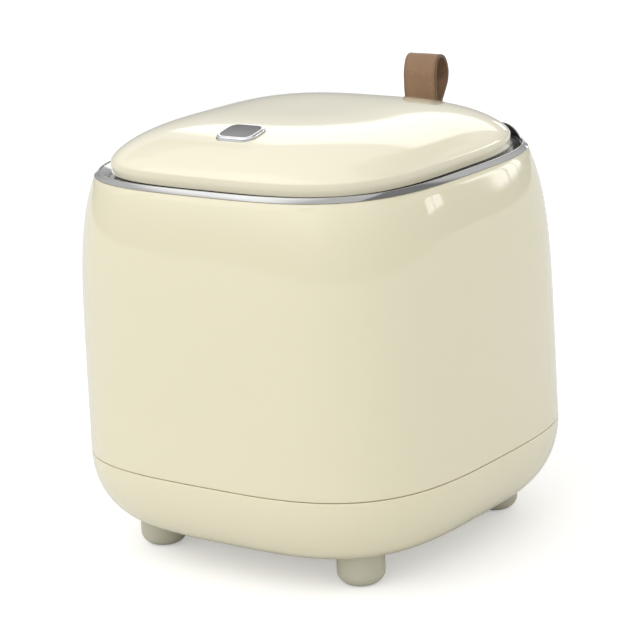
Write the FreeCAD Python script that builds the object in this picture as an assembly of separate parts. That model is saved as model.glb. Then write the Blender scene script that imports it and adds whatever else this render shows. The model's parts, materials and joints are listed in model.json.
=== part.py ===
"""Yogurt maker: a rounded-cube warming box with a hinged domed lid and four glass jars.

The frame is in millimetres, +Z up, with the origin on the floor under the middle of the body.
The front, with the lid's press button, faces -Y.  The hinge and the carrying strap are at +Y.
Every section of the body is a superellipse, "squircle" below, given by its half width.
"""
import FreeCAD, Part
import math
import os

V = FreeCAD.Vector
X_AXIS, Y_AXIS, Z_AXIS = V(1, 0, 0), V(0, 1, 0), V(0, 0, 1)

# ---------------------------------------------------------------- driving dimensions
HALF = 95.0            # half width of the body at the seam, its widest place
POWER = 3.33           # superellipse power of the body's plan
LID_POWER = 3.45       # the lid's plan is a little squarer at its edge
WALL = 2.5             # housing wall
FLOOR_Z = 13.5         # underside of the base shell
SEAM_Z = 47.0          # joint between the base shell and the outer shell
RIM_Z = 174.0          # top edge of the outer shell, where the ring sits
FLAT_HALF = 70.0       # half width of the flat underside
BOWL_POWER = 2.11      # roundness of the base from the flat to the seam
SIDE_LEAN, SIDE_TURN = 1.6, 7.6      # how far the side comes in: evenly, and near the rim
SEAM_GAP = 0.4         # hairline shown between the two shells

RING_OUTER = 85.8      # half width of the trim ring at its foot
RING_INNER = 79.9
RIDGE_Z = 176.3
COLLAR_TOP = 172.6
COLLAR_OUTER = 81.6

LID_HALF = 78.4
LID_Z = 175.2          # lower edge of the lid's skirt
LIP_Z = 180.6          # top of the skirt, where the dome starts
DOME_RISE = 17.0
DOME_POWER, DOME_FALL = 3.8, 0.74
LID_WALL = 2.4
LID_SLOPE = 0.2        # rise over run of the dome under the button

HINGE_Y, HINGE_Z = 80.0, 177.0
PIN_R, KNUCKLE_R, RUNNING = 1.5, 3.2, 0.06

BUTTON_Y = -51.4
BUTTON_SIZE = (20.0, 15.0, 5.0)      # width, depth, corner radius
BUTTON_TOP_Z = 196.5
BUTTON_TRAVEL = 2.0
SLIDER_Z = (177.5, 179.9)

LINER_HALF, LINER_WALL, LINER_FLOOR = 67.5, 0.8, 64.0
JAR_PITCH, JAR_R, JAR_H, JAR_WALL = 65.0, 30.0, 94.0, 2.7
JAR_Z = LINER_FLOOR + 0.1
FOOT_AT, FOOT_R = 55.5, 10.75
CORNER_SCREW_AT, CHASSIS_SCREW_AT, LID_SCREW_AT = 61.5, 66.0, 50.0
PANEL_Z = 68.0
INLET_X, SWITCH_X = -12.5, 13.0
STRAP_WIDTH, STUD_Z, STUD_LEAN = 18.0, 150.0, 7.0

CORNERS = {"front_left": (-1, -1), "front_right": (1, -1), "back_left": (-1, 1), "back_right": (1, 1)}


# ---------------------------------------------------------------- shared helpers
def squircle(half, z, power=POWER, count=32):
    """Closed smooth wire |x|^power + |y|^power = half^power at height z."""
    points = []
    for step in range(count):
        turn = 2 * math.pi * step / count
        c, s = math.cos(turn), math.sin(turn)
        reach = half / (abs(c) ** power + abs(s) ** power) ** (1 / power)
        points.append(V(reach * c, reach * s, z))
    curve = Part.BSplineCurve()
    curve.interpolate(points, PeriodicFlag=True)
    return Part.Wire(curve.toShape())


def stack(sections, ruled=False, power=POWER):
    """Solid through squircle sections, each (half width, height) or (half width, height, power)."""
    wires = [squircle(s[0], s[1], s[2] if len(s) > 2 else power) for s in sections]
    return Part.makeLoft(wires, True, ruled)


def prism(half, low, high, power=POWER):
    return Part.Face(squircle(half, low, power)).extrude(V(0, 0, high - low))


def ring(outer, inner, low, high, power=POWER):
    return prism(outer, low, high, power).cut(prism(inner, low - 1, high + 1, power))


def box(x, y, z):
    """Box from its (low, high) pair on each axis."""
    return Part.makeBox(x[1] - x[0], y[1] - y[0], z[1] - z[0], V(x[0], y[0], z[0]))


def rod(radius, start, end):
    start, end = V(*start), V(*end)
    return Part.makeCylinder(radius, (end - start).Length, start, end - start)


def upright(radius, x, y, low, high):
    return rod(radius, (x, y, low), (x, y, high))


def rounded_rect(width, depth, corner, x, y, low, high):
    """Upright prism whose plan is a rectangle with round corners."""
    block = box((x - width / 2, x + width / 2), (y - depth / 2, y + depth / 2), (low, high))
    edges = [e for e in block.Edges if abs(e.tangentAt(e.FirstParameter).z) > 0.9]
    return block.makeFillet(corner, edges)


def rounded_panel(width, height, corner, x, z, front, back):
    """Prism along Y, from y=front to y=back, whose face is a rectangle with round corners."""
    block = box((x - width / 2, x + width / 2), (front, back), (z - height / 2, z + height / 2))
    edges = [e for e in block.Edges if abs(e.tangentAt(e.FirstParameter).y) > 0.9]
    return block.makeFillet(corner, edges)


def turned(points, x=0.0, y=0.0, z=0.0):
    """Solid of revolution about an upright axis from (radius, height) points joined by lines."""
    outline = [V(r, 0, h) for r, h in points]
    face = Part.Face(Part.makePolygon(outline + outline[:1]))
    solid = face.revolve(V(0, 0, 0), Z_AXIS, 360)
    solid.translate(V(x, y, z))
    return solid


def coil(radius, wire, turns, length):
    """Helical spring along +Z from the origin, with its two ends left open."""
    path = Part.makeHelix(length / turns, length, radius)
    section = Part.Wire(Part.makeCircle(wire, V(radius, 0, 0), Y_AXIS))
    return Part.Wire(path.Edges).makePipeShell([section], True, True)


def fused(first, *others):
    return first.multiFuse(list(others)).removeSplitter()


def corners_at(distance):
    return [(distance * sx, distance * sy) for sx, sy in CORNERS.values()]


def screw(x, y, head_low, head_r, head_h, tip_z, shank_r=1.5):
    """Upright pan-head screw driven from below, with a cross recess in its head."""
    body = fused(upright(head_r, x, y, head_low, head_low + head_h),
                 upright(shank_r, x, y, head_low + head_h, tip_z))
    slot = 0.45
    arm, depth = head_r * 0.6, head_h * 0.45
    cross = [box((x - arm, x + arm), (y - slot, y + slot), (head_low - 1, head_low + depth)),
             box((x - slot, x + slot), (y - arm, y + arm), (head_low - 1, head_low + depth))]
    return body.cut(cross)


def export(name, shape):
    solids = shape.Solids
    if not solids:
        raise RuntimeError(name + " has no solid")
    keep = solids[0] if len(solids) == 1 else Part.makeCompound(solids)
    if not keep.isValid():
        print("NOT VALID", name)
    keep.exportStep("parts/" + name + ".step")
    print("%-22s solids %d  volume %9.1f mm3" % (name, len(solids), keep.Volume))
    return keep


# ---------------------------------------------------------------- the body's outer form
def side_half(z):
    """Half width of the outer shell: a slight lean, then a quick turn inwards under the ring."""
    share = (z - SEAM_Z) / (RIM_Z - SEAM_Z)
    return HALF - SIDE_LEAN * share - SIDE_TURN * share ** 6


def side_form(inset, low, high):
    steps = 10
    levels = [low + (high - low) * step / steps for step in range(steps + 1)]
    return stack([(side_half(z) - inset, z) for z in levels])


def bowl_form(inset, top):
    """The base's rounded form, from its flat underside up to the seam and straight on to top."""
    steps = 7
    sections = []
    for step in range(steps + 1):
        turn = math.pi / 2 * (1 - step / steps)
        out = (HALF - FLAT_HALF) * math.cos(turn) ** (2 / BOWL_POWER)
        drop = (SEAM_Z - FLOOR_Z - inset) * math.sin(turn) ** (2 / BOWL_POWER)
        sections.append((FLAT_HALF - inset + out, SEAM_Z - drop))
    form = stack(sections)
    if top > SEAM_Z:
        return fused(form, prism(HALF - inset, SEAM_Z, top))
    return form.cut(prism(HALF + 5, top, SEAM_Z + 5))


def dome_height(share):
    return DOME_RISE * (1 - share ** DOME_POWER) ** DOME_FALL


def lid_form(inset, low):
    """Skirt and dome of the lid, moved in and down by inset."""
    half, lip = LID_HALF - inset, LIP_Z - inset
    skirt = prism(half, low, lip, LID_POWER)
    shares = (1.0, 0.985, 0.955, 0.91, 0.84, 0.74, 0.61, 0.47, 0.34, 0.22)
    dome = stack([(half * r, lip + dome_height(r), LID_POWER - (1 - r)) for r in shares])
    return fused(skirt, dome)


# ---------------------------------------------------------------- housing
def corner_boss(at, radius, low, high):
    """Four screw columns with a web running out to each corner of the housing."""
    made = []
    for x, y in corners_at(at):
        made.append(upright(radius, x, y, low, high))
        web = box((0, 30), (-1.2, 1.2), (low + 0.5, high - 2.3))
        web.rotate(V(0, 0, 0), Z_AXIS, math.degrees(math.atan2(y, x)))
        web.translate(V(x, y, 0))
        made.append(web)
    return made


def outer_shell():
    outer = side_form(0, SEAM_Z + SEAM_GAP / 2, RIM_Z)
    shell = outer.cut(side_form(WALL, SEAM_Z - 2, RIM_Z + 2))
    inner_keep = side_form(WALL - 0.6, SEAM_Z + 1, RIM_Z - 1)
    bosses = corner_boss(CORNER_SCREW_AT, 3.6, 142.0, 164.8) + corner_boss(CHASSIS_SCREW_AT, 4.5, 52.7, 74.0)
    shell = fused(shell, *[b.common(inner_keep) for b in bosses])
    cuts = [upright(1.3, x, y, 148.0, 170.0) for x, y in corners_at(CORNER_SCREW_AT)]
    cuts += [upright(1.5, x, y, 50.0, 70.0) for x, y in corners_at(CHASSIS_SCREW_AT)]
    cuts.append(rounded_panel(54.4, 24.4, 5.0, 0, PANEL_Z, 85, 100))
    cuts.append(stud_rod(2.1, -10, 8))
    return shell.cut(cuts)


def base_shell():
    shell = bowl_form(0, SEAM_Z - SEAM_GAP / 2).cut(bowl_form(WALL, SEAM_Z + 5))
    tongue = fused(ring(92.2, 90.6, SEAM_Z - 5, SEAM_Z + 4), ring(93.2, 90.6, SEAM_Z - 5, SEAM_Z - 1))
    posts = [upright(3.0, x, y, FLOOR_Z + 1, 22.0) for x, y in BOARD_POSTS]
    shell = fused(shell, tongue, *posts)
    cuts = [upright(1.7, x, y, FLOOR_Z - 5, 30) for x, y in corners_at(FOOT_AT)]
    cuts += [upright(1.0, x, y, FLOOR_Z + 2, 23) for x, y in BOARD_POSTS]
    vent_length, vent_width, vent_pitch = 30.0, 2.4, 7.0
    for row in (-1, 1):
        for k in range(-3, 4):
            cuts.append(rounded_rect(vent_length, vent_width, 1.1, row * 22.0, k * vent_pitch + 8, 10, 18))
    return shell.cut(cuts)


def foot(sx, sy):
    """Soft foot with a rounded rim, shaped on top to the underside of the base."""
    x, y = sx * FOOT_AT, sy * FOOT_AT
    body = upright(FOOT_R, x, y, 0, 27)
    rim = [e for e in body.Edges if abs(e.BoundBox.ZMax) < 0.01]
    body = body.makeFillet(5.0, rim)
    body = body.cut(bowl_form(0, SEAM_Z))
    body = max(body.Solids, key=lambda s: -s.BoundBox.ZMin)
    return body.cut([upright(3.5, x, y, -1, 7.0), upright(1.7, x, y, 5, 30)])


def chassis_plate():
    """Inner carrier: holds the heater, takes the foot screws, and is screwed up into the outer shell."""
    plate = ring(84.0, 60.0, 50.0, 52.5)
    plate = fused(plate, Part.makeCylinder(66.0, 2.5, V(0, 0, 50)).common(prism(62, 49, 54)))
    cavity = bowl_form(WALL + 0.05, SEAM_Z + 5)
    legs = [upright(5.0, x, y, 10, 51).common(cavity) for x, y in corners_at(FOOT_AT)]
    posts = [upright(3.0, 49 * math.cos(a), 49 * math.sin(a), 52, 60.5)
             for a in (math.radians(90 * k + 45) for k in range(4))]
    plate = fused(plate, *legs, *posts)
    cuts = [upright(44.0, 0, 0, 49, 54)]
    cuts += [upright(1.5, x, y, 10, 32) for x, y in corners_at(FOOT_AT)]
    cuts += [upright(1.7, x, y, 49, 54) for x, y in corners_at(CHASSIS_SCREW_AT)]
    cuts.append(box((-22, 22), (66, 90), (49, 54)))
    return plate.cut(cuts)


def top_collar():
    """White plastic frame between the jar chamber and the housing; carries hinge and latch keeper."""
    collar = fused(ring(COLLAR_OUTER, 68.6, 170.4, COLLAR_TOP),
                   ring(COLLAR_OUTER, 79.6, 163.0, 171.0),
                   ring(70.2, 68.6, 165.0, 171.0),
                   *[upright(3.6, x, y, 164.9, 171.5) for x, y in corners_at(CORNER_SCREW_AT)])
    cuts = [prism(70.75, 171.75, 175)]
    cuts += [upright(1.7, x, y, 160, 175) for x, y in corners_at(CORNER_SCREW_AT)]
    cuts += [upright(2.9, x, y, 171.2, 175) for x, y in corners_at(CORNER_SCREW_AT)]
    cuts.append(box((-6.8, 6.8), (-79.2, -70.95), (169, 175)))
    cuts += [upright(1.0, x, 75.3, 168, 175) for x in (-10, 10)]
    return collar.cut(cuts)


def trim_ring():
    """Polished ring: a leaning outer face, a narrow ridge, and a slope down to the lid's gap."""
    outer = stack([(RING_OUTER, RIM_Z), (84.5, 175.8), (84.0, RIDGE_Z)], ruled=True)
    skirt = ring(83.1, 81.8, 169.5, RIM_Z + 0.2)
    shelf = ring(84.0, RING_INNER, COLLAR_TOP, RIM_Z + 0.2)
    shelf = shelf.cut(ring(90, 83.1, COLLAR_TOP - 1, RIM_Z))
    slope = fused(stack([(RING_INNER, 173.8), (83.5, RIDGE_Z + 0.001)], ruled=True),
                  prism(RING_INNER, 168, 173.9), prism(83.5, RIDGE_Z, 180))
    made = fused(outer, skirt, shelf).cut([slope, prism(81.8, 168, COLLAR_TOP)])
    return made.cut(box((-31, 31), (70, 83.55), (160, 180)))


# ---------------------------------------------------------------- jar chamber and heater
def liner():
    radius = 4.0
    turns = [math.pi / 2 * k / 4 for k in range(5)]

    def well(grow):
        low, half = LINER_FLOOR - grow, LINER_HALF + grow
        corner = [(half - radius + radius * math.sin(t), low + radius - radius * math.cos(t)) for t in turns]
        return fused(stack(corner), prism(half, low + radius, COLLAR_TOP))

    flange = prism(70.6, COLLAR_TOP - LINER_WALL, COLLAR_TOP)
    inside = fused(well(0), prism(LINER_HALF, COLLAR_TOP - 2, COLLAR_TOP + 2))
    return fused(well(LINER_WALL), flange).cut(inside)


def jar_places():
    half = JAR_PITCH / 2
    return {name: (sx * half, sy * half) for name, (sx, sy) in CORNERS.items()}


def jar(x, y):
    """Round glass pot: rounded heel, shoulder, and a neck with four short lugs for the cap."""
    heel, neck_r, neck_z, shoulder_z = 5.5, 25.5, JAR_H - 13.0, JAR_H - 20.0
    wall = JAR_WALL
    outer = [(0, 0)] + [(JAR_R - heel + heel * math.sin(t), heel - heel * math.cos(t))
                        for t in (math.pi / 2 * k / 5 for k in range(6))]
    outer += [(JAR_R, shoulder_z), (JAR_R - 1.2, shoulder_z + 3), (neck_r, neck_z), (neck_r, JAR_H), (0, JAR_H)]
    inner = [(0, wall + 1)] + [(JAR_R - heel + (heel - wall) * math.sin(t), heel + 1 - (heel - wall) * math.cos(t))
                               for t in (math.pi / 2 * k / 5 for k in range(6))]
    inner += [(JAR_R - wall, shoulder_z - 1), (neck_r - wall, neck_z - 1), (neck_r - wall, JAR_H + 1), (0, JAR_H + 1)]
    glass = turned(outer).cut(turned(inner))
    lugs = [lug(neck_r - 0.3, neck_r + 1.2, JAR_H - 6.0, JAR_H - 4.2, 90 * k + 45, 34) for k in range(4)]
    glass = fused(glass, *lugs)
    glass.translate(V(x, y, JAR_Z))
    return glass


def lug(inner, outer, low, high, middle_deg, span_deg):
    """A short piece of a ring, centred on an angle."""
    face = Part.Face(Part.makePolygon([V(inner, 0, low), V(outer, 0, low), V(outer, 0, high),
                                       V(inner, 0, high), V(inner, 0, low)]))
    face.rotate(V(0, 0, 0), Z_AXIS, middle_deg - span_deg / 2)
    return face.revolve(V(0, 0, 0), Z_AXIS, span_deg)


def jar_cap(x, y):
    """Twist cap: four small lugs catch under those of the jar, and grip ribs run round the side."""
    outer_r, inner_r, low, high = 28.6, 27.2, JAR_H - 11.0, JAR_H + 2.1
    cap = turned([(inner_r, low), (outer_r, low), (outer_r, high - 1.2), (outer_r - 1.2, high), (0, high),
                  (0, high - 2.0), (inner_r, high - 2.0)])
    lugs = [lug(26.0, inner_r + 0.3, JAR_H - 8.4, JAR_H - 6.4, 90 * k + 45, 22) for k in range(4)]
    ribs = [upright(0.55, outer_r * math.cos(a), outer_r * math.sin(a), low + 0.8, high - 2.4)
            for a in (2 * math.pi * k / 36 for k in range(36))]
    cap = fused(cap, *lugs, *ribs)
    cap.translate(V(x, y, JAR_Z))
    return cap


def heater_plate():
    plate = Part.makeCylinder(54.0, 2.6, V(0, 0, 60.55))
    return plate.cut(Part.makeCylinder(9.5, 4, V(0, 0, 60)))


PLATE_Z, TUBE_BEND, TUBE_R = 60.5, 36.0, 3.2
TUBE_END = (TUBE_BEND * math.sin(math.radians(30)), TUBE_BEND * math.cos(math.radians(30)))
PIN_END = (TUBE_END[0] - 8 * math.cos(math.radians(30)), TUBE_END[1] + 8 * math.sin(math.radians(30)))


def heater_tube():
    """Open loop of heating tube clamped under the plate, with a terminal pin at each end."""
    centre_z = PLATE_Z - TUBE_R
    loop = Part.makeTorus(TUBE_BEND, TUBE_R, V(0, 0, centre_z), Z_AXIS, -180, 180, 300)
    loop.rotate(V(0, 0, 0), Z_AXIS, 120)
    pins = [rod(1.2, (side * TUBE_END[0], TUBE_END[1], centre_z), (side * PIN_END[0], PIN_END[1], centre_z))
            for side in (-1, 1)]
    return fused(loop, *pins)


def thermostat():
    """Spring-loaded sensor that presses on the middle of the jar chamber's floor."""
    cup = Part.makeCylinder(8.6, 9.0, V(0, 0, 54.1))
    stem = Part.makeCylinder(5.0, 5.0, V(0, 0, 49.5))
    return fused(cup, stem)


def thermostat_bracket():
    bar = box((-50, 50), (-5, 5), (48.2, 49.4))
    return bar.cut(box((-47.5, -45.5), (-1.5, 1.5), (48, 50)))


def thermal_fuse():
    body = rod(2.0, (-7, 20, 58.4), (7, 20, 58.4))
    leads = rod(0.5, (-13, 20, 58.4), (13, 20, 58.4))
    return fused(body, leads)


def insulation_jacket():
    return ring(75.0, 70.0, 76.0, 138.0)


# ---------------------------------------------------------------- electrics
BOARD_POSTS = [(sx * 38.0, -14.0 + sy * 24.0) for sx in (-1, 1) for sy in (-1, 1)]
BOARD_TOP = 23.6


def control_board():
    board = box((-42, 42), (-42, 14), (22.0, BOARD_TOP))
    return board.cut([upright(1.4, x, y, 20, 26) for x, y in BOARD_POSTS])


def board_parts():
    """The tall components, each its own node."""
    transformer = fused(box((-34, -12), (-36, -12), (BOARD_TOP, 39.0)), box((-32, -14), (-33, -15), (39.0, 42.0)))
    relay = box((-4, 15), (-36, -21), (BOARD_TOP, 39.5))
    capacitors = [upright(5.0, 24, -30, BOARD_TOP, 38.0), upright(4.0, 24, -16, BOARD_TOP, 35.0)]
    terminals = fused(box((-20, 20), (3, 11), (BOARD_TOP, 33.5)),
                      *[upright(1.6, -15 + 10 * k, 7, 33.0, 34.2) for k in range(4)])
    return {"board_transformer": transformer, "board_relay": relay,
            "board_capacitors": Part.makeCompound(capacitors), "board_terminals": terminals}


def board_screws():
    made = [fused(upright(2.6, x, y, BOARD_TOP, BOARD_TOP + 1.8), upright(1.0, x, y, FLOOR_Z + 3, BOARD_TOP))
            for x, y in BOARD_POSTS]
    return Part.makeCompound(made)


def rear_panel():
    """Small plate in the back wall that holds the cord inlet and the switch."""
    face = rounded_panel(54.0, 24.0, 4.8, 0, PANEL_Z, 91.0, 94.4)
    flange = rounded_panel(60.0, 30.0, 4.8, 0, PANEL_Z, 88.8, 91.2)
    cuts = [rounded_panel(21.2, 13.2, 3.0, INLET_X, PANEL_Z, 80, 100),
            rounded_panel(19.4, 13.0, 1.0, SWITCH_X, PANEL_Z, 80, 100)]
    return fused(face, flange).cut(cuts)


def cord_inlet():
    """Two-pin appliance inlet with a figure-of-eight recess."""
    body = rounded_panel(21.0, 13.0, 2.9, INLET_X, PANEL_Z, 80.0, 94.8)
    lobe, spread, mouth = 4.4, 4.3, 84.5
    recess = fused(rod(lobe, (INLET_X - spread, mouth, PANEL_Z), (INLET_X - spread, 100, PANEL_Z)),
                   rod(lobe, (INLET_X + spread, mouth, PANEL_Z), (INLET_X + spread, 100, PANEL_Z)),
                   box((INLET_X - spread, INLET_X + spread), (mouth, 100), (PANEL_Z - 3.6, PANEL_Z + 3.6)))
    body = body.cut(recess)
    return body.cut([rod(1.2, (INLET_X + s * spread, 79, PANEL_Z), (INLET_X + s * spread, 90, PANEL_Z))
                     for s in (-1, 1)])


def inlet_pins():
    made = []
    for s in (-1, 1):
        x = INLET_X + s * 4.3
        pin = rod(1.2, (x, 76.6, PANEL_Z), (x, 93.4, PANEL_Z))
        tip = [e for e in pin.Edges if e.BoundBox.YMin > 93.3]
        made.append(pin.makeFillet(0.9, tip))
    return Part.makeCompound(made)


def switch_frame():
    frame = rounded_panel(19.2, 12.8, 0.9, SWITCH_X, PANEL_Z, 81.0, 94.4)
    bezel = rounded_panel(21.0, 15.0, 1.5, SWITCH_X, PANEL_Z, 94.4, 95.2)
    window = box((SWITCH_X - 7.6, SWITCH_X + 7.6), (86.0, 99), (PANEL_Z - 4.6, PANEL_Z + 4.6))
    axle = rod(1.06, (SWITCH_X, 90.5, PANEL_Z - 6.0), (SWITCH_X, 90.5, PANEL_Z + 6.0))
    return fused(frame, bezel).cut([window, axle])


ROCKER_TILT = 9.0      # the rocker leans this far to either side of its middle


def switch_rocker():
    """Rocker at its off position, leaning to one side, with an axle across it."""
    outline = [V(-6.9, 0, -0.5), V(-6.9, 0, 4.3), V(0, 0, 3.2), V(6.9, 0, 4.3), V(6.9, 0, -0.5),
               V(2.2, 0, -2.6), V(-2.2, 0, -2.6)]
    face = Part.Face(Part.makePolygon(outline + outline[:1]))
    body = face.extrude(V(0, 8.6, 0))
    body.translate(V(0, -4.3, 0))
    body = fused(body, rod(1.0, (0, -5.9, 0), (0, 5.9, 0)))
    body.rotate(V(0, 0, 0), X_AXIS, -90)
    body.rotate(V(0, 0, 0), Z_AXIS, ROCKER_TILT)
    body.translate(V(SWITCH_X, 90.5, PANEL_Z))
    return body


def lead(points, radius=0.9):
    """Round wire along straight runs joined by tangent arcs of 0.45 of the shorter run."""
    points = [V(*p) for p in points]
    edges, start = [], points[0]
    for before, here, after in zip(points, points[1:], points[2:]):
        into, out = (here - before), (after - here)
        turn = into.getAngle(out)
        arc_r = 0.45 * min(into.Length, out.Length) / math.tan(turn / 2)
        setback = arc_r * math.tan(turn / 2)
        into.normalize()
        out.normalize()
        first, last = here - into * setback, here + out * setback
        bisector = (out - into).normalize()
        middle = here + bisector * (arc_r / math.cos(turn / 2) - arc_r)
        edges += [Part.LineSegment(start, first).toShape(), Part.Arc(first, middle, last).toShape()]
        start = last
    edges.append(Part.LineSegment(start, points[-1]).toShape())
    path = Part.Wire(edges)
    direction = points[1] - points[0]
    section = Part.Wire(Part.makeCircle(radius, points[0], direction))
    return path.makePipeShell([section], True, False)


def mains_leads():
    """Inlet to board, one lead on each pin, through the notch at the back of the chassis plate."""
    made = []
    for s in (-1, 1):
        x = INLET_X + s * 4.3
        end_x = -15 if s < 0 else -5
        made.append(lead([(x, 76.5, PANEL_Z - 1.5), (x, 75.8, 58), (x + s, 74, 44), (end_x, 40, 38),
                          (end_x, 12.2, 29)]))
    return Part.makeCompound(made)


def heater_leads():
    made = []
    for s in (-1, 1):
        end_x = 5 if s < 0 else 15
        x, y = s * PIN_END[0], PIN_END[1]
        made.append(lead([(x, y, PLATE_Z - TUBE_R), (x - s * 3.464, y + 2.0, PLATE_Z - TUBE_R),
                          (x - s * 4.5, y + 5, 46), (end_x, 28, 33), (end_x, 12.2, 28)]))
    return Part.makeCompound(made)


# ---------------------------------------------------------------- lid
def button_prism(grow, low, high):
    width, depth, corner = BUTTON_SIZE
    return rounded_rect(width + 2 * grow, depth + 2 * grow, corner + grow, 0, BUTTON_Y, low, high)


def lid_cover():
    outer = lid_form(0, LID_Z)
    shell = outer.cut(lid_form(LID_WALL, LID_Z - 2))
    keep = lid_form(LID_WALL - 0.6, LID_Z + 1)
    well = button_prism(1.9, 187.4, 200).common(keep)
    bosses = [upright(3.5, x, y, 177.3, 200).common(keep) for x, y in corners_at(LID_SCREW_AT)]
    shell = fused(shell, well, *bosses)
    cuts = [button_prism(0.3, 180, 205)]
    cuts += [upright(1.3, x, y, 170, 186) for x, y in corners_at(LID_SCREW_AT)]
    cuts.append(box((-29, 29), (73.4, 90), (170, 181)))
    return shell.cut(cuts)


def lid_inner():
    """Flat plastic plate that closes the lid, with rails for the latch slider."""
    plate = prism(75.8, LID_Z, LID_Z + 2, LID_POWER)
    rails = [box((s * 5.75 - 0.75, s * 5.75 + 0.75), (-68, -42), (177, 180.2)) for s in (-1, 1)]
    stop = box((-5, 5), (-36.5, -34.5), (177, 181))
    plate = fused(plate, *rails, stop)
    cuts = [box((-5.8, 5.8), (-80, -70.9), (170, 180)), box((-7, 7), (72.6, 80), (170, 180))]
    cuts += [upright(1.7, x, y, 170, 180) for x, y in corners_at(LID_SCREW_AT)]
    cuts += [upright(1.0, x, 68.5, 176, 180) for x in (-20, 20)]
    cuts.append(upright(1.3, 0, 0, 170, 180))
    return plate.cut(cuts)


def lid_reflector():
    """Shallow metal pan under the lid that faces the jars."""
    low, half, thick = 171.5, 66.5, 0.8
    pan = prism(half, low, LID_Z).cut(prism(half - thick, low + thick, LID_Z + 1))
    return pan.cut(upright(1.7, 0, 0, low - 1, low + 2))


def reflector_screw():
    return fused(turned([(0, 169.6), (3.0, 169.6), (4.2, 170.4), (4.2, 171.5), (0, 171.5)]),
                 upright(1.3, 0, 0, 171.4, 176.9))


def lid_gasket():
    return ring(70.4, 68.4, COLLAR_TOP + 0.05, LID_Z)


def lid_screws():
    return Part.makeCompound([screw(x, y, LID_Z - 1.9, 3.0, 1.9, 184.0, 1.3) for x, y in corners_at(LID_SCREW_AT)])


def slope_block(y):
    """Everything behind and under a 45 degree slope that passes through y at the top of the wedge."""
    block = box((-4, 4), (0, 20), (-20, 20))
    block.rotate(V(0, 0, 0), X_AXIS, -45)
    block.translate(V(0, y, 182.3))
    return block


def lid_button():
    """Cap with a leaning top face, a flange that keeps it in its well, and a wedge under it."""
    cap = button_prism(0, 186.9, 205)
    lean = math.degrees(math.atan(LID_SLOPE))
    above = box((-20, 20), (-20, 20), (0, 20))
    above.rotate(V(0, 0, 0), X_AXIS, lean)
    above.translate(V(0, BUTTON_Y, BUTTON_TOP_Z))
    cap = cap.cut(above)
    top = max(cap.Faces, key=lambda f: f.CenterOfMass.z)
    cap = cap.makeFillet(0.9, top.Edges)
    flange = button_prism(1.3, 186.0, 187.2)
    stem = box((-2.5, 2.5), (BUTTON_Y - 2.6, BUTTON_Y + 2.4), (179.4, 186.4))
    return fused(cap, flange, stem.cut(slope_block(BUTTON_Y + 2.4)))


def latch_hook():
    """Slider with a sloping window that the button's wedge drives, and a hook over the front edge."""
    bar = box((-4.7, 4.7), (-74.9, -44), SLIDER_Z)
    window = box((-3.0, 3.0), (-56.5, -45.5), (177, 181))
    bar = bar.cut(window.cut(slope_block(BUTTON_Y + 2.45)))
    leg = box((-4.7, 4.7), (-74.9, -73.3), (166.6, SLIDER_Z[1]))
    nose = box((-4.7, 4.7), (-77.6, -74.5), (166.6, 169.1))
    tip = box((-6, 6), (-4, 0), (-4, 0))
    tip.rotate(V(0, 0, 0), X_AXIS, -35)
    tip.translate(V(0, -75.8, 166.6))
    return fused(bar, leg, nose.cut(tip))


def latch_spring():
    spring = coil(1.6, 0.3, 5, 6.7)
    spring.rotate(V(0, 0, 0), X_AXIS, -90)
    spring.translate(V(0, -43.6, 179.1))
    return spring


def button_springs():
    made = []
    for s in (-1, 1):
        spring = coil(1.3, 0.25, 6, 8.2)
        spring.translate(V(s * 8.4, BUTTON_Y, 177.5))
        made.append(spring)
    return Part.makeCompound(made)


def latch_keeper():
    return box((-11, 11), (-79.5, -76.4), (169.3, 170.4))


# ---------------------------------------------------------------- hinge
def hinge_bracket():
    """Fixed half of the hinge, screwed to the collar: two knuckles with room between for the spring."""
    flange = box((-14, 14), (73.2, 82.6), (COLLAR_TOP, 174.0))
    parts = [flange]
    for low, high in ((-14, -6.5), (6.5, 14)):
        parts.append(rod(KNUCKLE_R, (low, HINGE_Y, HINGE_Z), (high, HINGE_Y, HINGE_Z)))
        parts.append(box((low, high), (77.6, 82.6), (173.5, HINGE_Z)))
    bracket = fused(*parts)
    bracket = bracket.cut(box((-20, 20), (83.2, 90), (170, 180)))
    bore = rod(PIN_R, (-20, HINGE_Y, HINGE_Z), (20, HINGE_Y, HINGE_Z))
    return bracket.cut([bore] + [upright(1.4, x, 75.3, 170, 176) for x in (-10, 10)])


def bracket_screws():
    made = [fused(upright(2.1, x, 75.3, 174.0, 175.0), upright(1.0, x, 75.3, 169.0, 174.1)) for x in (-10, 10)]
    return Part.makeCompound(made)


def hinge_leaf():
    """Moving half of the hinge, screwed to the lid's inner plate."""
    parts = [box((-28, 28), (64, 74), (177.25, 179.3)), box((-6, 6), (73.5, 76.6), (178.3, 179.3))]
    for low, high in ((-28, -14.3), (14.3, 28)):
        parts.append(rod(KNUCKLE_R, (low, HINGE_Y, HINGE_Z), (high, HINGE_Y, HINGE_Z)))
        parts.append(box((low, high), (73, HINGE_Y), (177.25, 179.3)))
    leaf = fused(*parts)
    bore = rod(PIN_R + RUNNING, (-30, HINGE_Y, HINGE_Z), (30, HINGE_Y, HINGE_Z))
    return leaf.cut([bore] + [upright(1.4, x, 68.5, 176, 180) for x in (-20, 20)])


def leaf_screws():
    made = [fused(upright(2.5, x, 68.5, 179.3, 180.6), upright(1.0, x, 68.5, 176.2, 179.4)) for x in (-20, 20)]
    return Part.makeCompound(made)


def hinge_pin():
    return rod(PIN_R, (-28.6, HINGE_Y, HINGE_Z), (28.6, HINGE_Y, HINGE_Z))


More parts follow.
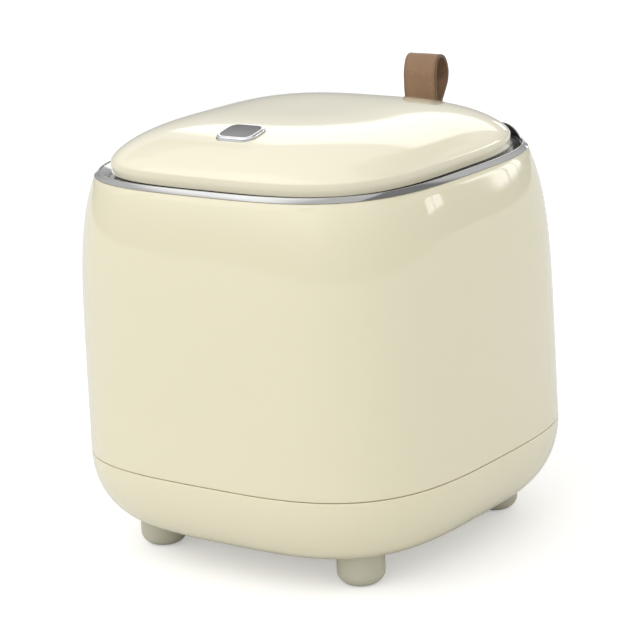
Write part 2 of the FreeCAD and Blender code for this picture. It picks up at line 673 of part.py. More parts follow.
def lid_spring():
    """Torsion spring round the pin, with one leg on the bracket and one under the leaf's tongue."""
    wire, radius = 0.45, 2.3
    spring = coil(radius, wire, 6.5, 9.0)
    spring.rotate(V(0, 0, 0), Y_AXIS, 90)
    spring.translate(V(-4.5, HINGE_Y, HINGE_Z))
    rest = rod(wire, (-4.5, HINGE_Y + 0.2, HINGE_Z - radius), (-4.5, 74.6, 174.5))
    lift = rod(wire, (4.5, HINGE_Y + 0.2, HINGE_Z + radius), (4.5, 74.6, 176.8))
    return fused(spring, rest, lift)


# ---------------------------------------------------------------- carrying strap
def spline_edge(points):
    curve = Part.BSplineCurve()
    curve.interpolate([V(0, y, z) for y, z in points])
    return curve.toShape()


def strap_loop():
    """Leather band doubled over: two legs flat on the back wall, and a loop standing above the rim."""
    outside = [(92.95, 139), (91.75, 150), (90.5, 163), (89.7, 175), (89.3, 185), (88.95, 193.5), (89.8, 202.2),
               (92.9, 207.4), (97.6, 207.2), (101.0, 202.2), (101.2, 195), (97.8, 188.6), (94.2, 183.8),
               (93.3, 175), (94.1, 163), (95.35, 150), (96.5, 139)]
    inside = [(92.1, 185.2), (90.9, 192), (91.3, 200.6), (93.9, 205.5), (96.8, 205.3), (99.2, 201.2),
              (99.3, 196), (96.1, 190), (92.1, 185.2)]
    foot = Part.LineSegment(V(0, *outside[-1]), V(0, *outside[0])).toShape()
    outline = Part.Wire([spline_edge(outside), foot])
    face = Part.Face([outline, Part.Wire([spline_edge(inside)])])
    face.validate()
    band = face.extrude(V(STRAP_WIDTH, 0, 0))
    band.translate(V(-STRAP_WIDTH / 2, 0, 0))
    return band.cut(stud_rod(2.1, -10, 8))


def stud_rod(radius, inner, outer):
    """Rod along the stud's axis, which is square to the leaning back wall, from the wall's face."""
    lean = math.radians(STUD_LEAN)
    y, z = side_half(STUD_Z), STUD_Z
    ends = [(0, y + d * math.cos(lean), z + d * math.sin(lean)) for d in (inner, outer)]
    return rod(radius, *ends)


def strap_stud():
    """Two-part screw rivet: domed head outside the strap, post through the wall, nut inside."""
    head = stud_rod(4.6, 3.95, 5.6)
    rim = [e for e in head.Edges if e.BoundBox.YMin > side_half(STUD_Z) + 4.2 and e.BoundBox.DiagonalLength > 9]
    return fused(head.makeFillet(1.2, rim), stud_rod(2.0, -WALL - 2.2, 4.0))


def strap_nut():
    return stud_rod(5.0, -WALL - 2.2, -WALL - 0.15).cut(stud_rod(2.0, -WALL - 5, 0))


# ---------------------------------------------------------------- build everything
def main():
    os.makedirs("parts", exist_ok=True)
    makers = [outer_shell, base_shell, chassis_plate, top_collar, trim_ring, liner, heater_plate, heater_tube,
              thermostat, thermostat_bracket, thermal_fuse, insulation_jacket, control_board, board_screws,
              rear_panel, cord_inlet, inlet_pins, switch_frame, switch_rocker, mains_leads, heater_leads,
              lid_cover, lid_inner, lid_reflector, reflector_screw, lid_gasket, lid_screws, lid_button,
              latch_hook, latch_spring, button_springs, latch_keeper, hinge_bracket, bracket_screws,
              hinge_leaf, leaf_screws, hinge_pin, lid_spring, strap_loop, strap_stud, strap_nut]
    for maker in makers:
        export(maker.__name__, maker())
    for name, shape in board_parts().items():
        export(name, shape)
    for name, (sx, sy) in CORNERS.items():
        export("foot_" + name, foot(sx, sy))
    for name, (x, y) in jar_places().items():
        export("jar_" + name, jar(x, y))
        export("jar_cap_" + name, jar_cap(x, y))
    feet = [screw(x, y, 4.4, 3.2, 2.6, 30.0) for x, y in corners_at(FOOT_AT)]
    export("foot_screws", Part.makeCompound(feet))
    inner = [screw(x, y, 47.6, 3.2, 2.4, 68.0) for x, y in corners_at(CHASSIS_SCREW_AT)]
    export("chassis_screws", Part.makeCompound(inner))
    top = []
    for x, y in corners_at(CORNER_SCREW_AT):
        top.append(fused(upright(2.8, x, y, 171.2, 172.4), upright(1.3, x, y, 150.0, 171.3)))
    export("collar_screws", Part.makeCompound(top))


if __name__ == "__main__":
    main()
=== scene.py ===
"""Yogurt maker: a rounded-cube warming box in glossy ivory, with a domed lid, a polished rim and a leather loop.

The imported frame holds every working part.  This add-on models the visible skins, the strap, the feet,
the press button, the jars and the chamber round them, gives every part its finish, and sets the studio.
"""
import json
import math

import bmesh
import bpy
from bpy.props import FloatProperty, FloatVectorProperty, IntProperty, PointerProperty
from mathutils import Matrix, Vector


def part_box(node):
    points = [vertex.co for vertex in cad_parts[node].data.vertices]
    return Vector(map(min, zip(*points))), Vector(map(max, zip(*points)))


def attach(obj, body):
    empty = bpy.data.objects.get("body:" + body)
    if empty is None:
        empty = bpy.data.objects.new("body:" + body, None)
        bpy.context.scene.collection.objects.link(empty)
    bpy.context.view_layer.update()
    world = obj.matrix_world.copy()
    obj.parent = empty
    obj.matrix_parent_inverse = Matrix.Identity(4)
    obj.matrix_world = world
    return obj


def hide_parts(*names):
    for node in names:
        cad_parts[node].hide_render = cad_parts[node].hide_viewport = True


bl_info = {
    "name": "Yogurt Maker",
    "version": (1, 0, 0),
    "blender": (4, 5, 0),
    "location": "3D View > Sidebar > Yogurt Maker",
    "description": "Builds the skins, strap, feet, button, jars and finishes of a rounded-cube yogurt maker",
    "category": "Add Mesh",
}

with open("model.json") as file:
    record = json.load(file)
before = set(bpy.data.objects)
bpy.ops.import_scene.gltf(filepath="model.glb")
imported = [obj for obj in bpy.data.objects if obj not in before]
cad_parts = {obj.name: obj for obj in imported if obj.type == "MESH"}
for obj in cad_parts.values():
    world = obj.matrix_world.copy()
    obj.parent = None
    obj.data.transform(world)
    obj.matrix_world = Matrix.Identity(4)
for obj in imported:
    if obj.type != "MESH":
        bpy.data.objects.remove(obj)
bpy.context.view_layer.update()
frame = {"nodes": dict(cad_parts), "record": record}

MM = 0.001
SEAM_GAP = 0.4 * MM
SHELL_LOW, SHELL_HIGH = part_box("outer_shell")
BASE_LOW, BASE_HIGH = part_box("base_shell")
RING_LOW, RING_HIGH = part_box("trim_ring")
LID_LOW, LID_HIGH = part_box("lid_cover")
BUTTON_LOW, BUTTON_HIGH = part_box("lid_button")
LINER_LOW, LINER_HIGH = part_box("liner")
STRAP_LOW, STRAP_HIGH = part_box("strap_loop")
PANEL_LOW, PANEL_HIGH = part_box("rear_panel")
JAR_NAMES = ("front_left", "front_right", "back_left", "back_right")


def middle(node):
    low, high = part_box(node)
    return (low + high) / 2


# ---------------------------------------------------------------- sizes and colours
def length(name, default, description):
    return FloatProperty(name=name, description=description, default=default, min=0.0, subtype="DISTANCE",
                         unit="LENGTH", precision=5)


def number(name, default, description):
    return FloatProperty(name=name, description=description, default=default, min=0.0, precision=3)


def colour(name, default, description):
    return FloatVectorProperty(name=name, description=description, default=default, size=3, min=0.0, max=1.0,
                               subtype="COLOR")


class YogurtBody(bpy.types.PropertyGroup):
    """Housing and rim sizes."""
    half: length("Half Width", SHELL_HIGH.x, "Half width of the housing at the seam")
    power: number("Squareness", 3.33, "Power of the rounded square that the housing has in plan")
    wall: length("Wall", 2.5 * MM, "Thickness of the housing wall")
    side_lean: length("Side Lean", 1.6 * MM, "How far the side leans in from seam to rim")
    side_turn: length("Side Turn", 7.6 * MM, "How much further it turns in close to the rim")
    side_power: number("Side Power", 6.0, "How late that second turn starts")
    flat_half: length("Flat Half Width", 70.0 * MM, "Half width of the flat underside")
    bowl_power: number("Bowl Roundness", 2.11, "Power of the curve from the underside to the seam")
    edge: length("Edge Radius", 0.3 * MM, "Rounding of the shells' edges at the seam")
    ring_foot: length("Ring Foot", RING_HIGH.x, "Half width of the rim ring where it meets the housing")
    ring_ridge: length("Ring Ridge", 84.1 * MM, "Half width of the ring's ridge")
    ring_inner: length("Ring Inner", 79.9 * MM, "Half width of the ring's inner edge")
    fence_rise: length("Fence Rise", 4.1 * MM, "How far the ring's edge rises at the back")
    fence_start: length("Fence Start", 66.0 * MM, "Where the ring's back edge starts to rise, along Y")
    fence_end: length("Fence End", 78.0 * MM, "Where it has risen, along Y")
    segments: IntProperty(name="Segments", description="Points round each section", default=144, min=16)


class YogurtLid(bpy.types.PropertyGroup):
    """Lid, button and button well sizes."""
    half: length("Half Width", LID_HIGH.x, "Half width of the lid at its edge")
    power: number("Squareness", 3.45, "Power of the lid's plan at its edge")
    lip: length("Lip Height", 180.5 * MM, "Height where the skirt ends and the dome begins")
    rise: length("Dome Rise", 17.0 * MM, "How far the dome rises above the lip")
    dome_power: number("Dome Flatness", 3.8, "Power that keeps the top of the dome flat")
    dome_fall: number("Dome Fall", 0.74, "Power that rounds the dome's shoulder")
    wall: length("Wall", 2.4 * MM, "Thickness of the lid")
    button_width: length("Button Width", 20.0 * MM, "Width of the press button")
    button_depth: length("Button Depth", 15.0 * MM, "Depth of the press button, front to back")
    button_corner: length("Button Corner", 5.0 * MM, "Corner radius of the press button")
    button_slope: number("Button Slope", 0.2, "Rise over run of the button's top face")


class YogurtStrap(bpy.types.PropertyGroup):
    """Carrying loop sizes."""
    width: length("Width", STRAP_HIGH.x - STRAP_LOW.x, "Width of the leather band")
    thickness: length("Thickness", 1.65 * MM, "Thickness of the leather")
    end_corner: length("End Corner", 4.0 * MM, "Corner radius of the band's two ends")


class YogurtJar(bpy.types.PropertyGroup):
    """Glass jar and cap sizes."""
    radius: length("Radius", 30.0 * MM, "Outer radius of a jar")
    wall: length("Wall", 2.7 * MM, "Thickness of the glass")
    height: length("Height", 94.0 * MM, "Height of a jar without its cap")
    cap_radius: length("Cap Radius", 28.6 * MM, "Outer radius of a cap between its ribs")
    ribs: IntProperty(name="Cap Ribs", description="Grip ribs round a cap", default=60, min=3)


class YogurtColours(bpy.types.PropertyGroup):
    """Colours of the main finishes."""
    ivory: colour("Ivory", (0.835, 0.782, 0.572), "Housing plastic")
    lid: colour("Lid Ivory", (0.930, 0.875, 0.665), "Lid plastic")
    foot: colour("Foot", (0.56, 0.54, 0.43), "Soft feet")
    leather: colour("Leather", (0.385, 0.232, 0.138), "Face of the leather band")
    leather_dark: colour("Leather Edge", (0.150, 0.090, 0.042), "Painted edge and flesh side of the leather")
    cap: colour("Jar Cap", (0.80, 0.79, 0.74), "Twist caps of the jars")


class YogurtStudio(bpy.types.PropertyGroup):
    """Camera placement and light levels."""
    turn: FloatProperty(name="Turn", description="How far the camera stands round from the front",
                        default=math.radians(36.37), subtype="ANGLE")
    raise_by: FloatProperty(name="Elevation", description="How far the camera looks down",
                            default=math.radians(14.92), subtype="ANGLE")
    roll: FloatProperty(name="Roll", description="Tilt of the camera about its own axis",
                        default=math.radians(-3.03), subtype="ANGLE")
    distance: length("Distance", 1.13984, "From the camera to the middle of the seam")
    lens: number("Lens", 138.11, "Focal length in millimetres on a 36 mm sensor")
    aside: FloatProperty(name="Aside", description="Camera offset to its own right", default=-3.16 * MM)
    above: FloatProperty(name="Above", description="Camera offset upwards", default=49.97 * MM)
    brightness: number("Brightness", 1.10, "Strength of the surroundings")
    horizon: number("Horizon", 0.38, "Brightness of the room low down")
    ceiling: number("Ceiling", 0.80, "Brightness of the room overhead")


# ---------------------------------------------------------------- mesh helpers
SHARP_ANGLE = 32.0


def mark_sharp(bm, angle):
    """Shades each edge as smooth unless it is sharper than the angle in degrees."""
    for edge in bm.edges:
        edge.smooth = not (edge.is_manifold and edge.calc_face_angle(0.0) > math.radians(angle))


def new_piece(name, bm, smooth_angle=SHARP_ANGLE):
    """Object from a bmesh, smooth except at edges sharper than the angle in degrees."""
    for face in bm.faces:
        face.smooth = True
    mark_sharp(bm, smooth_angle)
    mesh = bpy.data.meshes.new(name)
    bm.to_mesh(mesh)
    bm.free()
    piece = bpy.data.objects.new(name, mesh)
    bpy.context.scene.collection.objects.link(piece)
    return piece


def finish_piece(piece, body, slot_name, *nodes):
    """Gives the piece its finish, lets it ride on a body and stand for CAD nodes."""
    if not piece.data.materials:
        piece.data.materials.append(finish(slot_name))
    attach(piece, body)
    if nodes:
        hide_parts(*nodes)
    return piece


def baked(piece):
    """Replaces the piece's mesh by what its modifiers make of it."""
    bpy.context.view_layer.update()
    seen = piece.evaluated_get(bpy.context.evaluated_depsgraph_get())
    mesh = bpy.data.meshes.new_from_object(seen)
    piece.modifiers.clear()
    old = piece.data
    piece.data = mesh
    bpy.data.meshes.remove(old)
    return piece


def cut(piece, cutter):
    """Takes the cutter's solid out of the piece and removes the cutter."""
    step = piece.modifiers.new("cut", "BOOLEAN")
    step.operation = "DIFFERENCE"
    step.solver = "EXACT"
    step.object = cutter
    baked(piece)
    bpy.data.objects.remove(cutter)
    bm = bmesh.new()
    bm.from_mesh(piece.data)
    bmesh.ops.dissolve_degenerate(bm, dist=1e-6, edges=bm.edges)
    mark_sharp(bm, SHARP_ANGLE)
    bm.to_mesh(piece.data)
    bm.free()
    return piece


def cut_block(piece, low, high, **corners):
    """Takes a block from low to high out of the piece."""
    tool = bmesh.new()
    add_block(tool, low, high, **corners)
    return cut(piece, new_piece("block_tool", tool))


def squircle(verts, half, z, power):
    """Puts a ring of vertices on |x|^power + |y|^power = half^power at height z, each on its own bearing."""
    for vert in verts:
        turn = math.atan2(vert.co.y, vert.co.x)
        c, s = math.cos(turn), math.sin(turn)
        reach = half / (abs(c) ** power + abs(s) ** power) ** (1 / power)
        vert.co = Vector((reach * c, reach * s, z))


def grow_line(bm, ring):
    """Extrudes a ring or an open line of vertices and returns the new one."""
    inside = set(ring)
    edges = [e for e in bm.edges if e.verts[0] in inside and e.verts[1] in inside]
    made = bmesh.ops.extrude_edge_only(bm, edges=edges)["geom"]
    return [g for g in made if isinstance(g, bmesh.types.BMVert)]


def loft(sections, power, segments, close_start=True, close_end=True):
    """Solid through rounded squares (half width, height[, power]); an end that isn't closed joins the other."""
    bm = bmesh.new()
    ring = first = bmesh.ops.create_circle(bm, segments=segments, radius=1.0)["verts"]
    for index, section in enumerate(sections):
        if index:
            ring = grow_line(bm, ring)
        squircle(ring, section[0], section[1], section[2] if len(section) > 2 else power)
    if close_start:
        bmesh.ops.pointmerge(bm, verts=first, merge_co=Vector((0, 0, sections[0][1])))
    if close_end:
        bmesh.ops.pointmerge(bm, verts=ring, merge_co=Vector((0, 0, sections[-1][1])))
    if not (close_start or close_end):
        bmesh.ops.remove_doubles(bm, verts=first + ring, dist=1e-6)
    bmesh.ops.recalc_face_normals(bm, faces=bm.faces)
    return bm


def arc(centre, radius, start, end, steps):
    """Points (half width, height) along an arc, angles in degrees from outwards to up."""
    made = []
    for step in range(steps + 1):
        turn = math.radians(start + (end - start) * step / steps)
        made.append((centre[0] + radius * math.cos(turn), centre[1] + radius * math.sin(turn)))
    return made


def spin_solid(profile, centre, steps, angle=360.0, start=0.0):
    """Turned solid about an upright axis from a closed profile of (radius, height) points."""
    bm = bmesh.new()
    axis = Vector((centre[0], centre[1], 0))
    verts = [bm.verts.new(axis + Vector((r, 0, z))) for r, z in profile]
    whole = angle >= 360.0
    open_profile = profile[0][0] < 1e-9 and profile[-1][0] < 1e-9
    edges = [bm.edges.new(pair) for pair in zip(verts, verts[1:])]
    if not open_profile:
        edges.append(bm.edges.new((verts[-1], verts[0])))
    if start:
        bmesh.ops.rotate(bm, verts=verts, cent=axis, matrix=Matrix.Rotation(math.radians(start), 3, "Z"))
    bmesh.ops.spin(bm, geom=verts + edges, cent=axis, axis=(0, 0, 1), angle=math.radians(angle), steps=steps,
                   use_merge=whole, use_duplicate=False)
    bmesh.ops.remove_doubles(bm, verts=bm.verts, dist=1e-7)
    if not whole:
        bmesh.ops.holes_fill(bm, edges=bm.edges, sides=0)
    bmesh.ops.recalc_face_normals(bm, faces=bm.faces)
    return bm


def bevel(bm, edges, offset, segments):
    bmesh.ops.bevel(bm, geom=edges, offset=offset, segments=segments, affect="EDGES", profile=0.5, material=-1)


def add_block(bm, low, high, corner=0.0, corner_axis=2, segments=6):
    """Box from low to high with its edges along one axis rounded."""
    size = Vector(high) - Vector(low)
    place = Matrix.Translation(Vector(low) + size / 2) @ Matrix.Diagonal(size).to_4x4()
    verts = bmesh.ops.create_cube(bm, size=1.0, matrix=place)["verts"]
    if corner:
        along = [e for e in bm.edges if e.verts[0] in verts
                 and abs((e.verts[0].co - e.verts[1].co)[corner_axis]) > size[corner_axis] * 0.9]
        bevel(bm, along, corner, segments)


def in_metres(points):
    """Points (half width, height) given in millimetres."""
    return [(half * MM, z * MM) for half, z in points]


def join_meshes(*parts):
    """One bmesh holding all the given ones, which are freed."""
    whole = bmesh.new()
    for part in parts:
        holder = bpy.data.meshes.new("part")
        part.to_mesh(holder)
        part.free()
        whole.from_mesh(holder)
        bpy.data.meshes.remove(holder)
    return whole


# ---------------------------------------------------------------- shader helpers
class Graph:
    """Shorthand for wiring a node tree."""

    def __init__(self, tree):
        self.tree = tree

    def node(self, kind, **settings):
        made = self.tree.nodes.new("ShaderNode" + kind)
        for key, value in settings.items():
            setattr(made, key, value)
        return made

    def feed(self, socket, value):
        """Wires an output into the socket, or sets its constant."""
        if hasattr(value, "links"):
            self.tree.links.new(value, socket)
        elif isinstance(value, tuple):
            socket.default_value = (*value[:3], 1.0)
        else:
            socket.default_value = value

    def put(self, node, **values):
        for key, value in values.items():
            self.feed(node.inputs[key.replace("_", " ")], value)
        return node

    def link(self, out, into):
        self.tree.links.new(out, into)

    def place(self, kind="Object"):
        return self.node("TexCoord").outputs[kind]

    def axes(self, kind="Object"):
        """X, Y and Z of a texture coordinate, each on its own."""
        made = self.node("SeparateXYZ")
        self.link(self.place(kind), made.inputs[0])
        return made.outputs

    def noise(self, vector, scale, detail, roughness=0.5):
        made = self.put(self.node("TexNoise"), Vector=vector, Scale=scale, Detail=detail, Roughness=roughness)
        return made.outputs["Fac"]

    def ramp(self, value, low, high, out_low=0.0, out_high=1.0):
        made = self.node("MapRange", interpolation_type="SMOOTHSTEP")
        self.put(made, Value=value, From_Min=low, From_Max=high, To_Min=out_low, To_Max=out_high)
        return made.outputs["Result"]

    def math(self, operation, first, second=0.0):
        made = self.node("Math", operation=operation)
        self.feed(made.inputs[0], first)
        self.feed(made.inputs[1], second)
        return made.outputs[0]

    def mix(self, factor, first, second):
        """Colour between the first, at factor 0, and the second, at 1."""
        made = self.node("Mix", data_type="RGBA")
        for socket, value in zip((made.inputs[0], made.inputs[6], made.inputs[7]), (factor, first, second)):
            self.feed(socket, value)
        return made.outputs[2]


def shader_group(name, inputs, outputs):
    """New node group from named defaults and output names; returns its graph, given values and output node."""
    graph = Graph(bpy.data.node_groups.new(name, "ShaderNodeTree"))
    for key, default in inputs:
        kind = "NodeSocketColor" if isinstance(default, tuple) else "NodeSocketFloat"
        graph.feed(graph.tree.interface.new_socket(name=key, in_out="INPUT", socket_type=kind), default)
    for key in outputs:
        kind = "NodeSocketColor" if key == "Color" else "NodeSocketFloat"
        graph.tree.interface.new_socket(name=key, in_out="OUTPUT", socket_type=kind)
    return graph, graph.tree.nodes.new("NodeGroupInput").outputs, graph.tree.nodes.new("NodeGroupOutput")


def mottle_group():
    """Cloudy colour, roughness and height of a moulded or sprayed surface."""
    graph, given, sink = shader_group(
        "Mottled Surface",
        [("Base", (0.8, 0.8, 0.8)), ("Tint", (0.7, 0.7, 0.7)), ("Tint Amount", 0.1), ("Cloud Scale", 20.0),
         ("Grain Scale", 900.0), ("Grain", 0.1), ("Roughness Low", 0.2), ("Roughness High", 0.3)],
        ("Color", "Roughness", "Height"))
    clouds = graph.noise(graph.place(), given["Cloud Scale"], 4.0, 0.55)
    grain = graph.noise(graph.place(), given["Grain Scale"], 2.0, 0.6)
    tinted = graph.math("MULTIPLY", graph.ramp(clouds, 0.35, 0.7), given["Tint Amount"])
    graph.put(sink, Color=graph.mix(tinted, given["Base"], given["Tint"]),
              Roughness=graph.ramp(clouds, 0.3, 0.7, given["Roughness Low"], given["Roughness High"]),
              Height=graph.math("MULTIPLY", grain, given["Grain"]))
    return graph.tree


def brushed_group():
    """Fine parallel scratches along one direction, as height, roughness and a tone mask."""
    graph, given, sink = shader_group(
        "Brushed Lines",
        [("Along X", 20.0), ("Along Y", 900.0), ("Along Z", 20.0), ("Roughness Low", 0.2), ("Roughness High", 0.4)],
        ("Mask", "Roughness", "Height"))
    stretch = graph.put(graph.node("CombineXYZ"), X=given["Along X"], Y=given["Along Y"], Z=given["Along Z"])
    scaled = graph.node("VectorMath", operation="MULTIPLY")
    graph.link(graph.place(), scaled.inputs[0])
    graph.link(stretch.outputs[0], scaled.inputs[1])
    lines = graph.noise(scaled.outputs[0], 1.0, 5.0, 0.65)
    graph.put(sink, Mask=graph.ramp(lines, 0.3, 0.7), Height=lines,
              Roughness=graph.ramp(lines, 0.3, 0.7, given["Roughness Low"], given["Roughness High"]))
    return graph.tree


def leather_group():
    """Pebbled leather: cell creases over soft clouds."""
    graph, given, sink = shader_group(
        "Leather Grain",
        [("Face", (0.3, 0.18, 0.1)), ("Deep", (0.1, 0.06, 0.03)), ("Pebble Scale", 1500.0), ("Cloud Scale", 90.0)],
        ("Color", "Roughness", "Height"))
    place = graph.place()
    noise = graph.put(graph.node("TexNoise"), Vector=place, Scale=700.0, Detail=2.0)
    small = graph.put(graph.node("VectorMath", operation="SCALE"), Scale=0.0006)
    graph.link(noise.outputs["Color"], small.inputs[0])
    wobble = graph.node("VectorMath", operation="ADD")
    graph.link(place, wobble.inputs[0])
    graph.link(small.outputs[0], wobble.inputs[1])
    cells = graph.put(graph.node("TexVoronoi", feature="DISTANCE_TO_EDGE"), Vector=wobble.outputs[0],
                      Scale=given["Pebble Scale"])
    crease = graph.ramp(cells.outputs["Distance"], 0.0, 0.22)
    clouds = graph.noise(place, given["Cloud Scale"], 4.0, 0.6)
    worn = graph.mix(graph.ramp(clouds, 0.3, 0.75, 0.30, 0.0), given["Face"], given["Deep"])
    darker = graph.math("MULTIPLY", graph.math("SUBTRACT", 1.0, crease), 0.32)
    graph.put(sink, Color=graph.mix(darker, worn, given["Deep"]), Roughness=graph.ramp(clouds, 0.3, 0.7, 0.42, 0.58),
              Height=graph.math("ADD", crease, graph.math("MULTIPLY", clouds, 0.6)))
    return graph.tree


def fibre_group():
    """Matted fibres: tangled strands as colour, and their height."""
    graph, given, sink = shader_group(
        "Matted Fibre", [("Base", (0.8, 0.8, 0.75)), ("Shade", (0.5, 0.5, 0.45)), ("Strand Scale", 500.0)],
        ("Color", "Height"))
    wave = graph.put(graph.node("TexNoise"), Vector=graph.place(), Scale=given["Strand Scale"], Detail=6.0,
                     Roughness=0.75, Distortion=1.6).outputs["Fac"]
    graph.put(sink, Color=graph.mix(graph.ramp(wave, 0.35, 0.65), given["Shade"], given["Base"]), Height=wave)
    return graph.tree


def window_group():
    """A lit rectangle of the surroundings with soft edges and glazing bars, in degrees of bearing and elevation."""
    graph, given, sink = shader_group(
        "Lit Window", [("Bearing", 0.0), ("Half Width", 10.0), ("Low", 0.0), ("High", 20.0), ("Softness", 2.0),
                       ("Panes Across", 0.0), ("Panes Up", 0.0)], ("Mask",))
    looking = graph.axes("Generated")
    turn = graph.math("DEGREES", graph.math("ARCTAN2", looking["Y"], looking["X"]))
    wrapped = graph.node("Math", operation="WRAP")
    for socket, value in zip(wrapped.inputs, (graph.math("SUBTRACT", turn, given["Bearing"]), 180.0, -180.0)):
        graph.feed(socket, value)
    aside = wrapped.outputs[0]
    rise = graph.math("DEGREES", graph.math("ARCSINE", looking["Z"]))
    half, low, high, soft = [given[key] for key in ("Half Width", "Low", "High", "Softness")]
    mask = graph.ramp(graph.math("SUBTRACT", half, graph.math("ABSOLUTE", aside)), 0.0, soft)
    for inside in (graph.math("SUBTRACT", rise, low), graph.math("SUBTRACT", high, rise)):
        mask = graph.math("MULTIPLY", mask, graph.ramp(inside, 0.0, soft))
    span_up = graph.math("SUBTRACT", high, low)
    for along, span, panes in ((graph.math("ADD", aside, half), graph.math("MULTIPLY", half, 2.0), "Panes Across"),
                               (graph.math("SUBTRACT", rise, low), span_up, "Panes Up")):
        share = graph.math("MULTIPLY", graph.math("DIVIDE", along, span), given[panes])
        bars = graph.ramp(graph.math("PINGPONG", share, 0.5), 0.03, 0.07)
        plain = graph.math("LESS_THAN", given[panes], 0.5)
        mask = graph.math("MULTIPLY", mask, graph.math("MAXIMUM", bars, plain))
    graph.put(sink, Mask=mask)
    return graph.tree


GROUP_MAKERS = {"Lit Window": window_group, "Mottled Surface": mottle_group, "Brushed Lines": brushed_group,
                "Leather Grain": leather_group, "Matted Fibre": fibre_group}


def group_node(graph, name, **values):
    tree = bpy.data.node_groups.get(name) or GROUP_MAKERS[name]()
    return graph.put(graph.node("Group", node_tree=tree), **values)


def new_material(name):
    material = bpy.data.materials.new(name)
    material.use_nodes = True
    graph = Graph(material.node_tree)
    return material, graph, material.node_tree.nodes["Principled BSDF"]


def bump(graph, shader, height, distance, strength=1.0):
    made = graph.put(graph.node("Bump"), Height=height, Distance=distance, Strength=strength)
    graph.put(shader, Normal=made.outputs[0])


def mottled(name, base, tint, amount=0.12, clouds=18.0, grain=900.0, height=0.5, rough=(0.25, 0.35),
            depth=0.00002, **constants):
    """Plastic, rubber, paint or glaze with clouded colour and a moulded grain."""
    material, graph, shader = new_material(name)
    look = group_node(graph, "Mottled Surface", Base=base, Tint=tint, Tint_Amount=amount, Cloud_Scale=clouds,
                      Grain_Scale=grain, Grain=height, Roughness_Low=rough[0], Roughness_High=rough[1])
    bump(graph, shader, look.outputs["Height"], depth)
    graph.put(shader, Base_Color=look.outputs["Color"], Roughness=look.outputs["Roughness"], **constants)
    return material


def metal(name, base, dark, lines=(30.0, 900.0, 30.0), rough=(0.22, 0.38), depth=0.000004):
    """Metal with fine directional lines in tone, gloss and height."""
    material, graph, shader = new_material(name)
    look = group_node(graph, "Brushed Lines", Along_X=lines[0], Along_Y=lines[1], Along_Z=lines[2],
                      Roughness_Low=rough[0], Roughness_High=rough[1])
    bump(graph, shader, look.outputs["Height"], depth)
    graph.put(shader, Base_Color=graph.mix(look.outputs["Mask"], dark, base), Roughness=look.outputs["Roughness"],
              Metallic=1.0)
    return material


# ---------------------------------------------------------------- finishes
def ivory_finish(name):
    return mottled(name, tuple(colours().ivory), (0.82, 0.765, 0.555), amount=0.35, clouds=9.0, grain=140.0,
                   height=0.5, rough=(0.05, 0.08), depth=0.000006, Coat_Weight=0.5, Coat_Roughness=0.03)


def lid_finish(name):
    return mottled(name, tuple(colours().lid), (0.915, 0.86, 0.65), amount=0.35, clouds=10.0, grain=120.0,
                   height=0.5, rough=(0.05, 0.08), depth=0.000008, Coat_Weight=0.5, Coat_Roughness=0.03)


def leather_finish(name):
    """Pebbled face on the broad sides, dark painted edges at the two long sides."""
    material, graph, shader = new_material(name)
    half = (STRAP_HIGH.x - STRAP_LOW.x) / 2
    dark = tuple(colours().leather_dark)
    look = group_node(graph, "Leather Grain", Face=tuple(colours().leather), Deep=dark, Pebble_Scale=1500.0,
                      Cloud_Scale=90.0)
    aside = graph.math("ABSOLUTE", graph.axes()["X"])
    edge = graph.ramp(aside, half - 0.55 * MM, half - 0.1 * MM)
    burnish = graph.ramp(aside, half - 2.2 * MM, half - 0.4 * MM, 0.0, 0.35)
    toned = graph.mix(burnish, look.outputs["Color"], dark)
    bump(graph, shader, look.outputs["Height"], 0.00006, 0.7)
    graph.put(shader, Base_Color=graph.mix(edge, toned, dark),
              Roughness=graph.math("SUBTRACT", look.outputs["Roughness"], graph.math("MULTIPLY", edge, 0.16)),
              Specular_IOR_Level=0.4, Sheen_Weight=0.08, Sheen_Roughness=0.4)
    return material


def glass_finish(name):
    """Clear pressed glass with faint ripples."""
    material, graph, shader = new_material(name)
    place = graph.place()
    bump(graph, shader, graph.noise(place, 55.0, 2.0), 0.0001, 0.5)
    graph.put(shader, Roughness=graph.ramp(graph.noise(place, 30.0, 2.0), 0.3, 0.7, 0.0, 0.02),
              Base_Color=graph.mix(graph.noise(place, 12.0, 1.0), (0.97, 0.99, 0.98), (0.93, 0.97, 0.95)),
              Transmission_Weight=1.0, IOR=1.5)
    return material


def fibre_finish(name):
    """Matted white insulation."""
    material, graph, shader = new_material(name)
    look = group_node(graph, "Matted Fibre", Base=(0.83, 0.82, 0.78), Shade=(0.60, 0.59, 0.54), Strand_Scale=420.0)
    bump(graph, shader, look.outputs["Height"], 0.0006)
    graph.put(shader, Base_Color=look.outputs["Color"], Roughness=0.95)
    return material


def floor_finish(name):
    """Matt white sheet that also glows a little where it is looked at, so that it fades into the backdrop."""
    material = mottled(name, (0.84, 0.84, 0.84), (0.82, 0.82, 0.82), clouds=3.0, rough=(0.8, 0.9), depth=0.00001)
    graph = Graph(material.node_tree)
    shader = material.node_tree.nodes["Principled BSDF"]
    seen = graph.node("LightPath").outputs["Is Camera Ray"]
    graph.put(shader, Emission_Color=graph.mix(seen, (0.0, 0.0, 0.0), (0.36, 0.36, 0.36)), Emission_Strength=1.0,
              Specular_IOR_Level=0.1)
    return material


def plain_plastic(base, tint, **settings):
    return lambda name: mottled(name, base, tint, **settings)


def plain_metal(base, dark, **settings):
    return lambda name: metal(name, base, dark, **settings)


